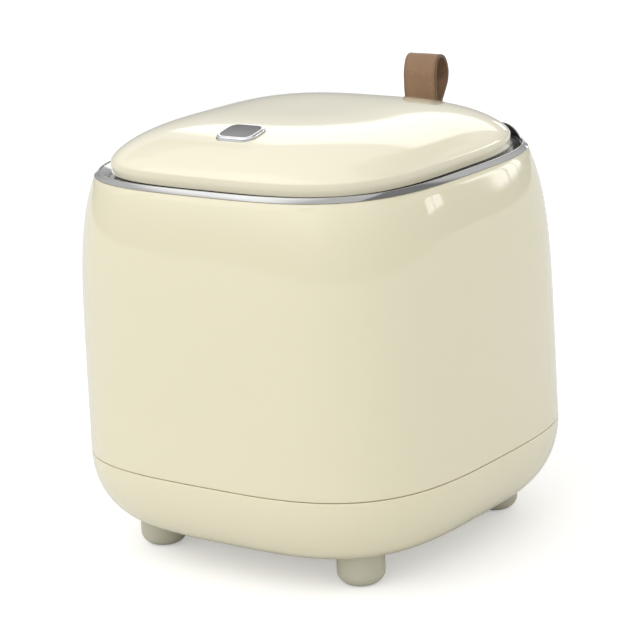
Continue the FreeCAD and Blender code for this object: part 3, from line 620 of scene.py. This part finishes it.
CAST_METAL = plain_metal((0.62, 0.62, 0.62), (0.50, 0.50, 0.51), lines=(420.0, 420.0, 420.0), rough=(0.36, 0.55),
                         depth=0.00002)
FINISHES = {
    "cream_gloss": ivory_finish,
    "lid_gloss": lid_finish,
    "white_plastic": plain_plastic((0.80, 0.79, 0.75), (0.74, 0.73, 0.68), rough=(0.36, 0.46), height=0.8),
    "grey_plastic": plain_plastic((0.30, 0.31, 0.32), (0.25, 0.26, 0.27), rough=(0.45, 0.6), height=0.9),
    "chrome": plain_metal((0.52, 0.52, 0.515), (0.47, 0.47, 0.465), lines=(60.0, 60.0, 2600.0), rough=(0.03, 0.06),
                          depth=0.0000006),
    "button_metal": plain_metal((0.15, 0.147, 0.15), (0.11, 0.108, 0.11), lines=(60.0, 3200.0, 60.0),
                                rough=(0.24, 0.38), depth=0.000006),
    "button_edge": plain_metal((0.80, 0.80, 0.81), (0.72, 0.72, 0.74), lines=(40.0, 40.0, 2500.0),
                               rough=(0.07, 0.13), depth=0.000001),
    "liner_metal": plain_metal((0.80, 0.81, 0.82), (0.70, 0.71, 0.73), lines=(40.0, 40.0, 1500.0),
                               rough=(0.20, 0.34)),
    "heater_metal": CAST_METAL,
    "tube_metal": CAST_METAL,
    "steel": plain_metal((0.64, 0.64, 0.63), (0.52, 0.52, 0.53), lines=(1400.0, 120.0, 1400.0), rough=(0.24, 0.40)),
    "screw_steel": plain_metal((0.60, 0.60, 0.60), (0.42, 0.42, 0.43), lines=(500.0, 500.0, 1800.0),
                               rough=(0.26, 0.44), depth=0.000008),
    "strap_metal": plain_metal((0.46, 0.38, 0.26), (0.20, 0.15, 0.09), lines=(700.0, 700.0, 700.0),
                               rough=(0.26, 0.48), depth=0.00001),
    "brass_pins": plain_metal((0.78, 0.70, 0.52), (0.62, 0.53, 0.34), lines=(120.0, 900.0, 900.0),
                              rough=(0.16, 0.28)),
    "insulation": fibre_finish,
    "circuit_board": plain_plastic((0.03, 0.16, 0.08), (0.05, 0.24, 0.11), amount=0.8, clouds=160.0,
                                   rough=(0.2, 0.35)),
    "transformer": plain_plastic((0.70, 0.52, 0.10), (0.52, 0.36, 0.07), amount=0.5, clouds=120.0, rough=(0.4, 0.6)),
    "relay": plain_plastic((0.05, 0.10, 0.30), (0.04, 0.08, 0.22), rough=(0.3, 0.45)),
    "capacitor": plain_plastic((0.03, 0.04, 0.09), (0.05, 0.06, 0.12), rough=(0.2, 0.32)),
    "terminal_green": plain_plastic((0.06, 0.30, 0.12), (0.05, 0.24, 0.10), rough=(0.35, 0.5)),
    "fuse_ceramic": plain_plastic((0.78, 0.72, 0.58), (0.68, 0.60, 0.46), rough=(0.25, 0.4)),
    "black_plastic": plain_plastic((0.022, 0.022, 0.024), (0.034, 0.034, 0.036), amount=0.6, clouds=60.0,
                                   grain=2200.0, height=1.0, rough=(0.42, 0.55), depth=0.00004),
    "rocker_plastic": plain_plastic((0.015, 0.015, 0.017), (0.03, 0.03, 0.03), amount=0.4, rough=(0.14, 0.22)),
    "latch_plastic": plain_plastic((0.80, 0.79, 0.74), (0.72, 0.71, 0.66), rough=(0.3, 0.42)),
    "lead_insulation": plain_plastic((0.42, 0.05, 0.03), (0.34, 0.04, 0.03), rough=(0.4, 0.55)),
    # Black gloss, also used for the black bands painted in as shade on the ring and under the lid
    "seal_black": plain_plastic((0.018, 0.018, 0.018), (0.03, 0.03, 0.03), rough=(0.10, 0.16)),
    "gasket_silicone": plain_plastic((0.66, 0.66, 0.63), (0.58, 0.58, 0.55), rough=(0.5, 0.65), grain=1600.0),
    "leather": leather_finish,
    "thread": plain_plastic((0.30, 0.21, 0.13), (0.20, 0.13, 0.08), amount=0.8, clouds=900.0, rough=(0.6, 0.75)),
    "foot_rubber": lambda name: mottled(name, tuple(colours().foot), (0.52, 0.50, 0.40), rough=(0.42, 0.55),
                                        grain=2400.0, height=1.0, depth=0.00003),
    "jar_glass": glass_finish,
    "cap_plastic": lambda name: mottled(name, tuple(colours().cap), (0.74, 0.73, 0.68), rough=(0.30, 0.42)),
    "floor": floor_finish,
}


def colours():
    return bpy.context.scene.yogurt_colours


def finish(slot_name):
    """The one material made for a slot; the frame's own plain materials have the bare slot names."""
    name = slot_name + "_finish"
    return bpy.data.materials.get(name) or FINISHES[slot_name](name)


# ---------------------------------------------------------------- housing
def side_half(body, z):
    """Half width of the housing at a height above the seam."""
    share = (z - SHELL_LOW.z) / (SHELL_HIGH.z - SHELL_LOW.z)
    return body.half - body.side_lean * share - body.side_turn * share ** body.side_power


def add_stud_rod(bm):
    """Rod along the strap's stud, which leaves its hole in the housing and in the leather."""
    lean, radius = math.radians(7.0), 2.1 * MM
    outwards = Vector((0, math.cos(lean), math.sin(lean)))
    place = Matrix.Translation(middle("strap_stud")) @ outwards.to_track_quat("Z", "X").to_matrix().to_4x4()
    bmesh.ops.create_cone(bm, cap_ends=True, segments=32, radius1=radius, radius2=radius, depth=24 * MM,
                          matrix=place)


class YOGURT_OT_housing(bpy.types.Operator):
    """Model the upper housing skin with its panel cut-out and stud hole"""
    bl_idname = "yogurt.housing"
    bl_label = "Housing"

    def execute(self, context):
        body = context.scene.yogurt_body
        bottom, top, edge, wall = SHELL_LOW.z, SHELL_HIGH.z, body.edge, body.wall
        steps = 44
        heights = [bottom + edge + (top - bottom - 2 * edge) * step / steps for step in range(steps + 1)]
        outer = [(side_half(body, z), z) for z in heights]
        inner = [(side_half(body, z) - wall, z) for z in reversed(heights[::4])]
        foot = arc((side_half(body, bottom) - edge, bottom + edge), edge, -90, 0, 4)
        brow = arc((side_half(body, top) - edge, top - edge), edge, 0, 90, 4)
        loop = foot[:-1] + outer + brow[1:] + inner + foot[:1]
        piece = new_piece("housing_skin", loft(loop, body.power, body.segments, False, False))
        tool = bmesh.new()
        overlap = 2.8 * MM   # how far the panel's flange laps the housing round the window
        inside, outside = 80 * MM, 102 * MM
        add_block(tool, (PANEL_LOW.x + overlap, inside, PANEL_LOW.z + overlap),
                  (PANEL_HIGH.x - overlap, outside, PANEL_HIGH.z - overlap), corner=5 * MM, corner_axis=1, segments=8)
        add_stud_rod(tool)
        cut(piece, new_piece("window_tool", tool))
        finish_piece(piece, "housing", "cream_gloss", "outer_shell")
        return {"FINISHED"}


class YOGURT_OT_base(bpy.types.Operator):
    """Model the rounded base with its vents, inner tongue and hidden floor"""
    bl_idname = "yogurt.base"
    bl_label = "Base"

    def execute(self, context):
        body = context.scene.yogurt_body
        floor, wall, edge = BASE_LOW.z, body.wall, body.edge
        seam = SHELL_LOW.z - SEAM_GAP
        steps = 30
        outside, inside = [], []
        for step in range(steps + 1):
            turn = math.pi / 2 * step / steps
            out = math.cos(turn) ** (2 / body.bowl_power)
            drop = math.sin(turn) ** (2 / body.bowl_power)
            reach = body.half - body.flat_half
            outside.append((body.flat_half + reach * out, SHELL_LOW.z - (SHELL_LOW.z - floor) * drop))
            inside.append((body.flat_half - wall + reach * out, SHELL_LOW.z - (SHELL_LOW.z - floor - wall) * drop))
        outside = [s for s in outside if s[1] < seam - edge]
        tongue_foot = seam - 5 * MM
        inside = [s for s in inside if s[1] < tongue_foot]
        tongue_in, tongue_out, tongue_top = 90.6 * MM, 92.1 * MM, BASE_HIGH.z
        tongue = [(tongue_in, tongue_foot), (tongue_in, tongue_top), (tongue_out, tongue_top), (tongue_out, seam)]
        lip = arc((body.half - edge, seam - edge), edge, 90, 0, 4)
        underside = [(body.flat_half * share, floor) for share in (0.75, 0.5, 0.25, 0.1)]
        attic = [(body.flat_half * share, floor + wall) for share in (0.1, 0.5, 0.9)]
        sections = attic + list(reversed(inside)) + tongue + lip + outside + underside
        piece = new_piece("base_skin", loft(sections, body.power, body.segments))
        tool = bmesh.new()
        pitch, middle_y, half_long, half_wide = 7 * MM, 8 * MM, 15 * MM, 1.2 * MM
        for x in (-22 * MM, 22 * MM):
            for row in range(-3, 4):
                y = middle_y + row * pitch
                add_block(tool, (x - half_long, y - half_wide, 8 * MM), (x + half_long, y + half_wide, 20 * MM),
                          corner=1.15 * MM, segments=5)
        cut(piece, new_piece("vent_tool", tool))
        finish_piece(piece, "housing", "cream_gloss", "base_shell")
        return {"FINISHED"}


class YOGURT_OT_ring(bpy.types.Operator):
    """Model the polished rim ring with its raised back edge and the gap for the hinge, and a black band on its inner
    face at the back, painted shade and dark reflection
    """
    bl_idname = "yogurt.ring"
    bl_label = "Rim Ring"

    def execute(self, context):
        body = context.scene.yogurt_body
        foot, top, low = RING_LOW.z, RING_HIGH.z, SHELL_HIGH.z
        ridge_r, shelf = 0.4 * MM, 172.6 * MM
        skirt_in, skirt_out, seat = 81.8 * MM, 83.1 * MM, low + 0.05 * MM
        sections = [(skirt_in, shelf), (skirt_in, foot), (skirt_out, foot), (skirt_out, seat)]
        sections += [(body.ring_foot - 0.25 * MM, seat), (body.ring_foot, low + 0.3 * MM)]
        sections += arc((body.ring_ridge - ridge_r, top - ridge_r), ridge_r, 20, 125, 8)
        sections += in_metres([(83.3, 175.6), (81.9, 175.1)])
        sections += [(body.ring_inner + 0.3 * MM, 174.0 * MM), (body.ring_inner, 173.7 * MM)]
        sections += [(body.ring_inner, shelf), sections[0]]
        finish_piece(self.hoop("rim_ring", sections, body), "housing", "chrome", "trim_ring")
        # Black band over the ring's inner slope and ridge at the back: painted shade and dark reflection of the gap
        # under the lid
        painted_shade_band = ((80.3, 173.9), (81.95, 174.9), (83.45, 175.4), (83.62, 176.2), (83.42, 176.32), (83.22, 175.66),
                (81.86, 175.18), (80.3, 174.12), (80.3, 173.9))
        painted_shade_lining = self.hoop("rim_painted_shade", in_metres(painted_shade_band), body)
        reach, shade_lining_end = 100 * MM, 58 * MM
        cut_block(painted_shade_lining, (-reach, -reach, 160 * MM), (reach, shade_lining_end, 182 * MM))
        finish_piece(painted_shade_lining, "housing", "seal_black")
        return {"FINISHED"}

    def hoop(self, name, sections, body):
        """A closed band round the rim, with its upper edge raised at the back and open for the hinge."""
        bm = loft(sections, body.power, body.segments + 96, False, False)
        edge_height, flare = 0.6 * MM, 0.35 * MM
        for vert in bm.verts:
            if vert.co.z > RING_HIGH.z - edge_height:
                share = (vert.co.y - body.fence_start) / (body.fence_end - body.fence_start)
                share = min(max(share, 0.0), 1.0)
                share = share * share * (3 - 2 * share)
                outwards = vert.co.xy.normalized() * flare * share
                vert.co += Vector((outwards.x, outwards.y, body.fence_rise * share))
        piece = new_piece(name, bm, 40)
        hinge_half = 31 * MM
        return cut_block(piece, (-hinge_half, 70 * MM, 160 * MM), (hinge_half, 83.5 * MM, 182 * MM))


class YOGURT_OT_feet(bpy.types.Operator):
    """Turn the four soft feet"""
    bl_idname = "yogurt.feet"
    bl_label = "Feet"

    def execute(self, context):
        recess, radius, rounding, top = 3.5 * MM, 10.75 * MM, 6.0 * MM, 15.2 * MM
        for name in JAR_NAMES:
            node = "foot_" + name
            centre = middle(node)
            profile = [(recess, 7 * MM), (recess, 0.3 * MM), (recess + 0.3 * MM, 0.0)]
            profile += arc((radius - rounding, rounding), rounding, -90, 0, 12)
            profile += [(radius, 10 * MM), (radius, top), (recess, top)]
            piece = new_piece("soft_" + node, spin_solid(profile, centre.xy, 96), 50)
            finish_piece(piece, "housing", "foot_rubber", node)
        return {"FINISHED"}


# ---------------------------------------------------------------- lid
def dome_sections(lid, inset, steps):
    """Sections of the dome from its lip towards the middle."""
    made, crowding = [], 1.7   # crowding brings the sections closer together at the lip
    for step in range(steps):
        share = 1 - (step / steps) ** crowding
        rise = lid.rise * (1 - share ** lid.dome_power) ** lid.dome_fall
        made.append(((lid.half - inset) * share, lid.lip - inset + rise, lid.power - (1 - share)))
    return made


class YOGURT_OT_lid(bpy.types.Operator):
    """Model the domed lid with its skirt, button well and hinge notch, and a black strip under its edge at the front
    and sides, painted shade of the gap
    """
    bl_idname = "yogurt.lid"
    bl_label = "Lid"

    def execute(self, context):
        lid = context.scene.yogurt_lid
        edge, bottom = 0.5 * MM, LID_LOW.z
        segments = context.scene.yogurt_body.segments
        skirt = arc((lid.half - edge, bottom + edge), edge, -90, 0, 4)
        inner_skirt = [(lid.half - lid.wall, bottom)]
        outside = dome_sections(lid, 0.0, 46)
        inside = list(reversed(dome_sections(lid, lid.wall, 16)))
        piece = new_piece("lid_skin", loft(inside + inner_skirt + skirt + outside, lid.power, segments))
        gap = 0.35 * MM
        y, half_w, half_d = middle("lid_button").y, lid.button_width / 2 + gap, lid.button_depth / 2 + gap
        cut_block(piece, (-half_w, y - half_d, 182 * MM), (half_w, y + half_d, 205 * MM),
                  corner=lid.button_corner + gap, segments=12)
        notch_half, notch_front, notch_top = 29 * MM, 73.4 * MM, 181 * MM
        cut_block(piece, (-notch_half, notch_front, 170 * MM), (notch_half, 90 * MM, notch_top), corner=1.5 * MM,
                  corner_axis=1, segments=5)
        finish_piece(piece, "lid", "lid_gloss", "lid_cover")
        # Black strip under the lid's edge at the front and sides: painted shade of the gap between lid and ring
        lip = ((77.2, 174.65), (78.1, 174.65), (78.25, 174.8), (78.25, 175.3), (77.2, 175.3), (77.2, 174.65))
        painted_shade_band = new_piece("lid_painted_shade", loft(in_metres(lip), lid.power, segments, False, False), 40)
        reach, shade_strip_end = 90 * MM, 45 * MM
        cut_block(painted_shade_band, (-reach, shade_strip_end, 160 * MM), (reach, reach, 190 * MM))
        finish_piece(painted_shade_band, "lid", "seal_black")
        return {"FINISHED"}


class YOGURT_OT_button(bpy.types.Operator):
    """Model the press button: a leaning brushed face with a polished bevel, its flange and its wedge"""
    bl_idname = "yogurt.button"
    bl_label = "Press Button"

    def execute(self, context):
        lid = context.scene.yogurt_lid
        y = middle("lid_button").y
        half_w, half_d, flange = lid.button_width / 2, lid.button_depth / 2, 1.3 * MM
        top_z, foot_z, wedge_top = BUTTON_HIGH.z - lid.button_slope * half_d, 187 * MM, 186 * MM
        cap = bmesh.new()
        add_block(cap, (-half_w, y - half_d, foot_z), (half_w, y + half_d, top_z), corner=lid.button_corner,
                  segments=14)
        top = max(cap.faces, key=lambda f: f.calc_center_median().z)
        for vert in top.verts:
            vert.co.z += lid.button_slope * (vert.co.y - y)
        bevel(cap, list(top.edges), 0.95 * MM, 5)
        top = max(cap.faces, key=lambda f: f.calc_area() if f.normal.z > 0.9 else 0.0)
        bmesh.ops.inset_region(cap, faces=[top], thickness=0.35 * MM, depth=-0.05 * MM)
        top.material_index = 1
        hidden = bmesh.new()
        add_block(hidden, (-half_w - flange, y - half_d - flange, wedge_top),
                  (half_w + flange, y + half_d + flange, foot_z), corner=lid.button_corner + flange, segments=8)
        add_block(hidden, (-2.5 * MM, y - 2.6 * MM, BUTTON_LOW.z + 2.9 * MM), (2.5 * MM, y + 2.4 * MM, wedge_top))
        piece = new_piece("press_button", join_meshes(cap, hidden), 40)
        piece.data.materials.append(finish("button_edge"))
        piece.data.materials.append(finish("button_metal"))
        finish_piece(piece, "button", "button_metal", "lid_button")
        return {"FINISHED"}


# ---------------------------------------------------------------- carrying loop
# (y, z) in millimetres along the middle of the band: up the front leg, over the loop and down the rear leg
BAND_ROUTE = ((93.80, 139.2), (92.62, 150.0), (91.36, 163.0), (90.56, 175.0), (90.16, 185.0), (89.80, 193.5),
              (90.65, 201.6), (93.35, 206.0), (97.10, 205.9), (100.05, 201.7), (100.25, 195.3), (96.95, 189.2),
              (93.75, 184.0), (92.46, 175.0), (93.26, 163.0), (94.48, 150.0), (95.62, 139.2))


def smooth_route(points, resolution):
    """Places along a smooth open curve through the given (y, z) points in millimetres."""
    line = bpy.data.curves.new("route", "CURVE")
    line.dimensions = "3D"
    line.resolution_u = resolution
    spline = line.splines.new("BEZIER")
    spline.bezier_points.add(len(points) - 1)
    for knot, (y, z) in zip(spline.bezier_points, points):
        knot.co = (0, y * MM, z * MM)
        knot.handle_left_type = knot.handle_right_type = "AUTO"
    holder = bpy.data.objects.new("route", line)
    bpy.context.scene.collection.objects.link(holder)
    bpy.context.view_layer.update()
    mesh = bpy.data.meshes.new_from_object(holder.evaluated_get(bpy.context.evaluated_depsgraph_get()))
    places = [vert.co.copy() for vert in mesh.vertices]
    bpy.data.meshes.remove(mesh)
    bpy.data.objects.remove(holder)
    bpy.data.curves.remove(line)
    return places


class YOGURT_OT_loop(bpy.types.Operator):
    """Model the folded leather band and the thread that holds its two legs together"""
    bl_idname = "yogurt.loop"
    bl_label = "Carrying Loop"

    def execute(self, context):
        strap = context.scene.yogurt_strap
        route = smooth_route(BAND_ROUTE, 6)
        half, corner, end_z = strap.width / 2, strap.end_corner, BAND_ROUTE[0][1] * MM
        bm = bmesh.new()
        line = [bm.verts.new(place - Vector((half, 0, 0))) for place in route]
        for pair in zip(line, line[1:]):
            bm.edges.new(pair)
        columns = 10
        for _ in range(columns):
            line = grow_line(bm, line)
            bmesh.ops.translate(bm, verts=line, vec=(strap.width / columns, 0, 0))
        for vert in bm.verts:
            rise = vert.co.z - end_z
            if rise < corner:
                narrow = half - corner + math.sqrt(max(corner ** 2 - (corner - rise) ** 2, 0.0))
                vert.co.x *= max(narrow, 0.2 * MM) / half
        bmesh.ops.recalc_face_normals(bm, faces=bm.faces)
        offset = strap.thickness / 2
        for vert in bm.verts:
            vert.co -= vert.normal * offset
        bmesh.ops.solidify(bm, geom=bm.faces[:], thickness=-strap.thickness)
        bmesh.ops.recalc_face_normals(bm, faces=bm.faces)
        bevel(bm, [e for e in bm.edges if e.calc_face_angle(0.0) > math.radians(60)], 0.35 * MM, 3)
        piece = new_piece("leather_loop", bm, 60)
        tool = bmesh.new()
        add_stud_rod(tool)
        cut(piece, new_piece("punch_tool", tool))
        finish_piece(piece, "housing", "leather", "strap_loop")
        self.stitches(strap)
        return {"FINISHED"}

    def stitches(self, strap):
        """Two short rows of thread across the rear leg, one under the loop and one over the stud."""
        bm = bmesh.new()
        count, pitch = 5, strap.width * 0.17
        size = Matrix.Diagonal((1.05 * MM, 0.22 * MM, 0.26 * MM, 1))
        for y, z in ((93.40, 178.5), (94.37, 159.5)):
            for index in range(count):
                place = Matrix.Translation(((index - (count - 1) / 2) * pitch, y * MM, z * MM))
                bmesh.ops.create_uvsphere(bm, u_segments=12, v_segments=8, radius=1.0, matrix=place @ size)
        finish_piece(new_piece("loop_stitches", bm), "housing", "thread")


# ---------------------------------------------------------------- chamber and jars
class YOGURT_OT_chamber(bpy.types.Operator):
    """Model the drawn metal well that the jars stand in"""
    bl_idname = "yogurt.chamber"
    bl_label = "Chamber"

    def execute(self, context):
        body = context.scene.yogurt_body
        half, wall, radius, lip = 67.5 * MM, 0.8 * MM, 4.0 * MM, 0.7 * MM
        floor, top, flange = LINER_LOW.z, LINER_HIGH.z, LINER_HIGH.x
        inner = [(half * share, floor + wall) for share in (0.1, 0.35, 0.6, 0.8)]
        inner += arc((half - radius, floor + wall + radius), radius, -90, 0, 8)
        inner += [(half, floor + 20 * MM), (half, top - 30 * MM), (half, top - lip - wall)]
        inner += arc((half + lip, top - lip), lip, 180, 90, 3)
        outer = [(flange, top), (flange, top - wall), (half + wall, top - wall), (half + wall, floor + radius + wall)]
        outer += arc((half + wall - radius, floor + radius), radius, 0, -90, 6)
        outer += [(half * share, floor) for share in (0.6, 0.1)]
        finish_piece(new_piece("jar_well", loft(inner + outer, body.power, body.segments)), "housing",
                     "liner_metal", "liner")
        return {"FINISHED"}


class YOGURT_OT_jars(bpy.types.Operator):
    """Turn the four glass jars and their ribbed twist caps"""
    bl_idname = "yogurt.jars"
    bl_label = "Jars and Caps"

    def execute(self, context):
        jar = context.scene.yogurt_jar
        for name in JAR_NAMES:
            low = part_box("jar_" + name)[0]
            centre = middle("jar_" + name).xy
            glass = join_meshes(spin_solid(self.jar_profile(jar, low.z), centre, 96), *self.lugs(jar, centre, low.z))
            finish_piece(new_piece("pot_" + name, glass, 40), "jar_" + name, "jar_glass", "jar_" + name)
            cap = join_meshes(spin_solid(self.cap_profile(jar, low.z), centre, 120), self.ribs(jar, centre, low.z))
            finish_piece(new_piece("lid_of_" + name, cap, 40), "cap_" + name, "cap_plastic", "jar_cap_" + name)
        return {"FINISHED"}

    def jar_profile(self, jar, z):
        """Outside from the heel to the rim, then back down inside."""
        heel, neck, top = 5.5 * MM, 25.5 * MM, jar.height
        shoulder, neck_z = top - 20 * MM, top - 13 * MM
        wall, bead = jar.wall, 1.3 * MM
        points = [(0.0, 1.6 * MM), (jar.radius * 0.55, 1.2 * MM), (jar.radius - heel - 3 * MM, 0.4 * MM)]
        points += [(jar.radius - heel - 1.5 * MM, 0.0)] + arc((jar.radius - heel, heel), heel, -90, 0, 8)
        points += [(jar.radius, shoulder), (jar.radius - 0.5 * MM, shoulder + 2 * MM),
                   (jar.radius - 2.4 * MM, shoulder + 4.6 * MM), (neck + 0.5 * MM, neck_z - 0.8 * MM),
                   (neck, neck_z)]
        points += arc((neck - bead, top - bead), bead, 0, 180, 8)
        points += [(neck - wall, neck_z - 1 * MM), (jar.radius - 2.4 * MM - wall, shoulder + 3.4 * MM),
                   (jar.radius - wall, shoulder - 1 * MM)]
        points += arc((jar.radius - heel, heel + 1 * MM), heel - wall, 0, -90, 6)
        points += [(jar.radius * 0.4, wall + 1.4 * MM), (0.0, wall + 1.8 * MM)]
        return [(r, z + h) for r, h in points]

    def lugs(self, jar, centre, z):
        """Four short lugs round the neck that the cap catches under."""
        low, high, inner, outer = jar.height - 6 * MM, jar.height - 4.2 * MM, 25.2 * MM, 26.7 * MM
        profile = [(inner, z + low), (outer - 0.4 * MM, z + low), (outer, z + low + 0.5 * MM),
                   (outer, z + high - 0.5 * MM), (outer - 0.4 * MM, z + high), (inner, z + high)]
        return [spin_solid(profile, centre, 10, 34.0, 90 * k + 28.0) for k in range(4)]

    def cap_profile(self, jar, z):
        """Top with a raised rim and a shallow dish, down the side and up inside."""
        low, high = jar.height - 11 * MM, jar.height + 2.1 * MM
        inner, outer, rim = 27.2 * MM, jar.cap_radius, 1.3 * MM
        points = [(0.0, high - 0.5 * MM), (outer - 5 * MM, high - 0.5 * MM), (outer - 4 * MM, high - 0.1 * MM),
                  (outer - 3.2 * MM, high)]
        points += arc((outer - rim, high - rim), rim, 90, 0, 5)
        skirt, roof = outer + 0.35 * MM, high - 2 * MM
        points += [(outer, low + 0.9 * MM), (skirt, low + 0.6 * MM), (skirt, low), (inner, low), (inner, roof),
                   (0.0, roof)]
        return [(r, z + h) for r, h in points]

    def ribs(self, jar, centre, z):
        """Fine upright grip ribs."""
        bm = bmesh.new()
        low, high = jar.height - 9.2 * MM, jar.height - 0.1 * MM
        for index in range(jar.ribs):
            turn = 2 * math.pi * index / jar.ribs
            place = (centre[0] + jar.cap_radius * math.cos(turn), centre[1] + jar.cap_radius * math.sin(turn),
                     z + (low + high) / 2)
            bmesh.ops.create_cone(bm, cap_ends=True, segments=8, radius1=0.5 * MM, radius2=0.42 * MM,
                                  depth=high - low, matrix=Matrix.Translation(place))
        return bm


# ---------------------------------------------------------------- finishes on the frame's own parts
class YOGURT_OT_finishes(bpy.types.Operator):
    """Give every part that stays from the frame its finish"""
    bl_idname = "yogurt.finishes"
    bl_label = "Part Finishes"

    def execute(self, context):
        slots = {part["node"]: part["material_slot"] for part in frame["record"]["subparts"]}
        for node, part in frame["nodes"].items():
            material = finish(slots[node])
            if not part.material_slots:
                part.data.materials.append(material)
            for place in part.material_slots:
                place.material = material
        return {"FINISHED"}


# ---------------------------------------------------------------- studio
# bearing from +X, half width, lowest and highest elevation, softness (degrees), panes across and up, brightness
ROOM_LIGHTS = (
    (-112.0, 58.0, 4.0, 75.0, 25.0, 0.0, 0.0, 0.86),    # big soft light at the front left
    (-25.0, 45.0, 12.0, 70.0, 20.0, 0.0, 0.0, 0.30),    # weaker fill at the front right
    (116.0, 22.0, 17.0, 40.0, 3.0, 0.0, 0.0, 0.88),     # long window behind
    (107.0, 4.5, 4.0, 11.0, 2.5, 0.0, 2.0, 2.6),        # small window behind on the right
    (43.0, 5.5, 6.5, 14.0, 1.6, 2.0, 0.0, 2.6),         # paned windows at the right
    (67.0, 11.0, 2.0, 19.0, 3.0, 3.0, 0.0, 2.4),
    (60.0, 38.0, 30.0, 76.0, 6.0, 0.0, 0.0, -0.50),     # dark wall at the right
    (155.0, 16.0, 24.0, 44.0, 4.0, 0.0, 0.0, -0.30),    # dark post at the left
    (-146.0, 5.0, 18.0, 34.0, 3.0, 0.0, 0.0, -0.75),    # dark door frames round the room
    (-87.0, 7.0, 30.0, 48.0, 2.0, 0.0, 0.0, -0.90),
    (5.0, 12.0, 26.0, 46.0, 5.0, 0.0, 0.0, -0.45),
)


class YOGURT_OT_studio(bpy.types.Operator):
    """Set the floor, the soft lights, the surroundings and the camera"""
    bl_idname = "yogurt.studio"
    bl_label = "Studio"

    def execute(self, context):
        studio = context.scene.yogurt_studio
        context.scene.view_settings.view_transform = "Standard"
        self.floor()
        self.lights(studio)
        self.camera(studio)
        return {"FINISHED"}

    def floor(self):
        bm, half = bmesh.new(), 4.0
        bmesh.ops.create_grid(bm, x_segments=2, y_segments=2, size=half)
        floor = new_piece("floor", bm)
        floor.data.materials.append(finish("floor"))

    def lights(self, studio):
        """Surroundings: plain white where the camera looks, and a dim room with bright windows for the light."""
        world = bpy.data.worlds.new("surroundings")
        world.use_nodes = True
        bpy.context.scene.world = world
        graph = Graph(world.node_tree)
        sky = world.node_tree.nodes["Background"]
        level = graph.ramp(graph.axes("Generated")["Z"], -0.05, 0.55, studio.horizon, studio.ceiling)
        for bearing, half, low, high, soft, across, up, strength in ROOM_LIGHTS:
            pane = group_node(graph, "Lit Window", Bearing=bearing, Half_Width=half, Low=low, High=high,
                              Softness=soft, Panes_Across=across, Panes_Up=up)
            level = graph.math("ADD", level, graph.math("MULTIPLY", pane.outputs["Mask"], strength))
        seen = graph.node("LightPath").outputs["Is Camera Ray"]
        graph.put(sky, Color=graph.mix(seen, level, (1.0, 1.0, 1.0)), Strength=studio.brightness)

    def camera(self, studio):
        """Camera that looks along -back, rolled about its own axis."""
        turn, rise, roll = studio.turn, studio.raise_by, studio.roll
        level_right = Vector((math.cos(turn), math.sin(turn), 0))
        back = Vector((math.sin(turn) * math.cos(rise), -math.cos(turn) * math.cos(rise), math.sin(rise)))
        level_up = back.cross(level_right)
        right = math.cos(roll) * level_right + math.sin(roll) * level_up
        up = -math.sin(roll) * level_right + math.cos(roll) * level_up
        seam_middle = Vector((0, 0, SHELL_LOW.z - SEAM_GAP / 2))
        data = bpy.data.cameras.new("camera")
        data.lens, data.sensor_width, data.clip_start = studio.lens, 36.0, 0.05
        camera = bpy.data.objects.new("camera", data)
        camera.location = seam_middle + right * studio.aside + up * studio.above + back * studio.distance
        camera.rotation_mode = "QUATERNION"
        camera.rotation_quaternion = Matrix((right, up, back)).transposed().to_quaternion()
        bpy.context.scene.collection.objects.link(camera)
        bpy.context.scene.camera = camera


# ---------------------------------------------------------------- add-on
class YOGURT_PT_panel(bpy.types.Panel):
    """Sidebar panel with the maker's pieces in building order"""
    bl_idname = "YOGURT_PT_panel"
    bl_label = "Yogurt Maker"
    bl_space_type = "VIEW_3D"
    bl_region_type = "UI"
    bl_category = "Yogurt Maker"

    def draw(self, context):
        for holder in GROUPS:
            self.layout.label(text=holder.removeprefix("yogurt_").title())
            group = getattr(context.scene, holder)
            for key in group.__annotations__:
                self.layout.prop(group, key)
        for operator in OPERATORS:
            self.layout.operator(operator.bl_idname)


GROUPS = {"yogurt_body": YogurtBody, "yogurt_lid": YogurtLid, "yogurt_strap": YogurtStrap, "yogurt_jar": YogurtJar,
          "yogurt_colours": YogurtColours, "yogurt_studio": YogurtStudio}
OPERATORS = (YOGURT_OT_housing, YOGURT_OT_base, YOGURT_OT_ring, YOGURT_OT_feet, YOGURT_OT_lid, YOGURT_OT_button,
             YOGURT_OT_loop, YOGURT_OT_chamber, YOGURT_OT_jars, YOGURT_OT_finishes, YOGURT_OT_studio)


register_classes, unregister_classes = bpy.utils.register_classes_factory(
    (*GROUPS.values(), *OPERATORS, YOGURT_PT_panel))


def register():
    register_classes()
    for holder, group in GROUPS.items():
        setattr(bpy.types.Scene, holder, PointerProperty(type=group))


def unregister():
    for holder in GROUPS:
        delattr(bpy.types.Scene, holder)
    unregister_classes()


def main():
    register()
    for operator in OPERATORS:
        getattr(bpy.ops.yogurt, operator.bl_idname.split(".")[1])()
    bpy.context.view_layer.update()


if __name__ == "__main__":
    main()
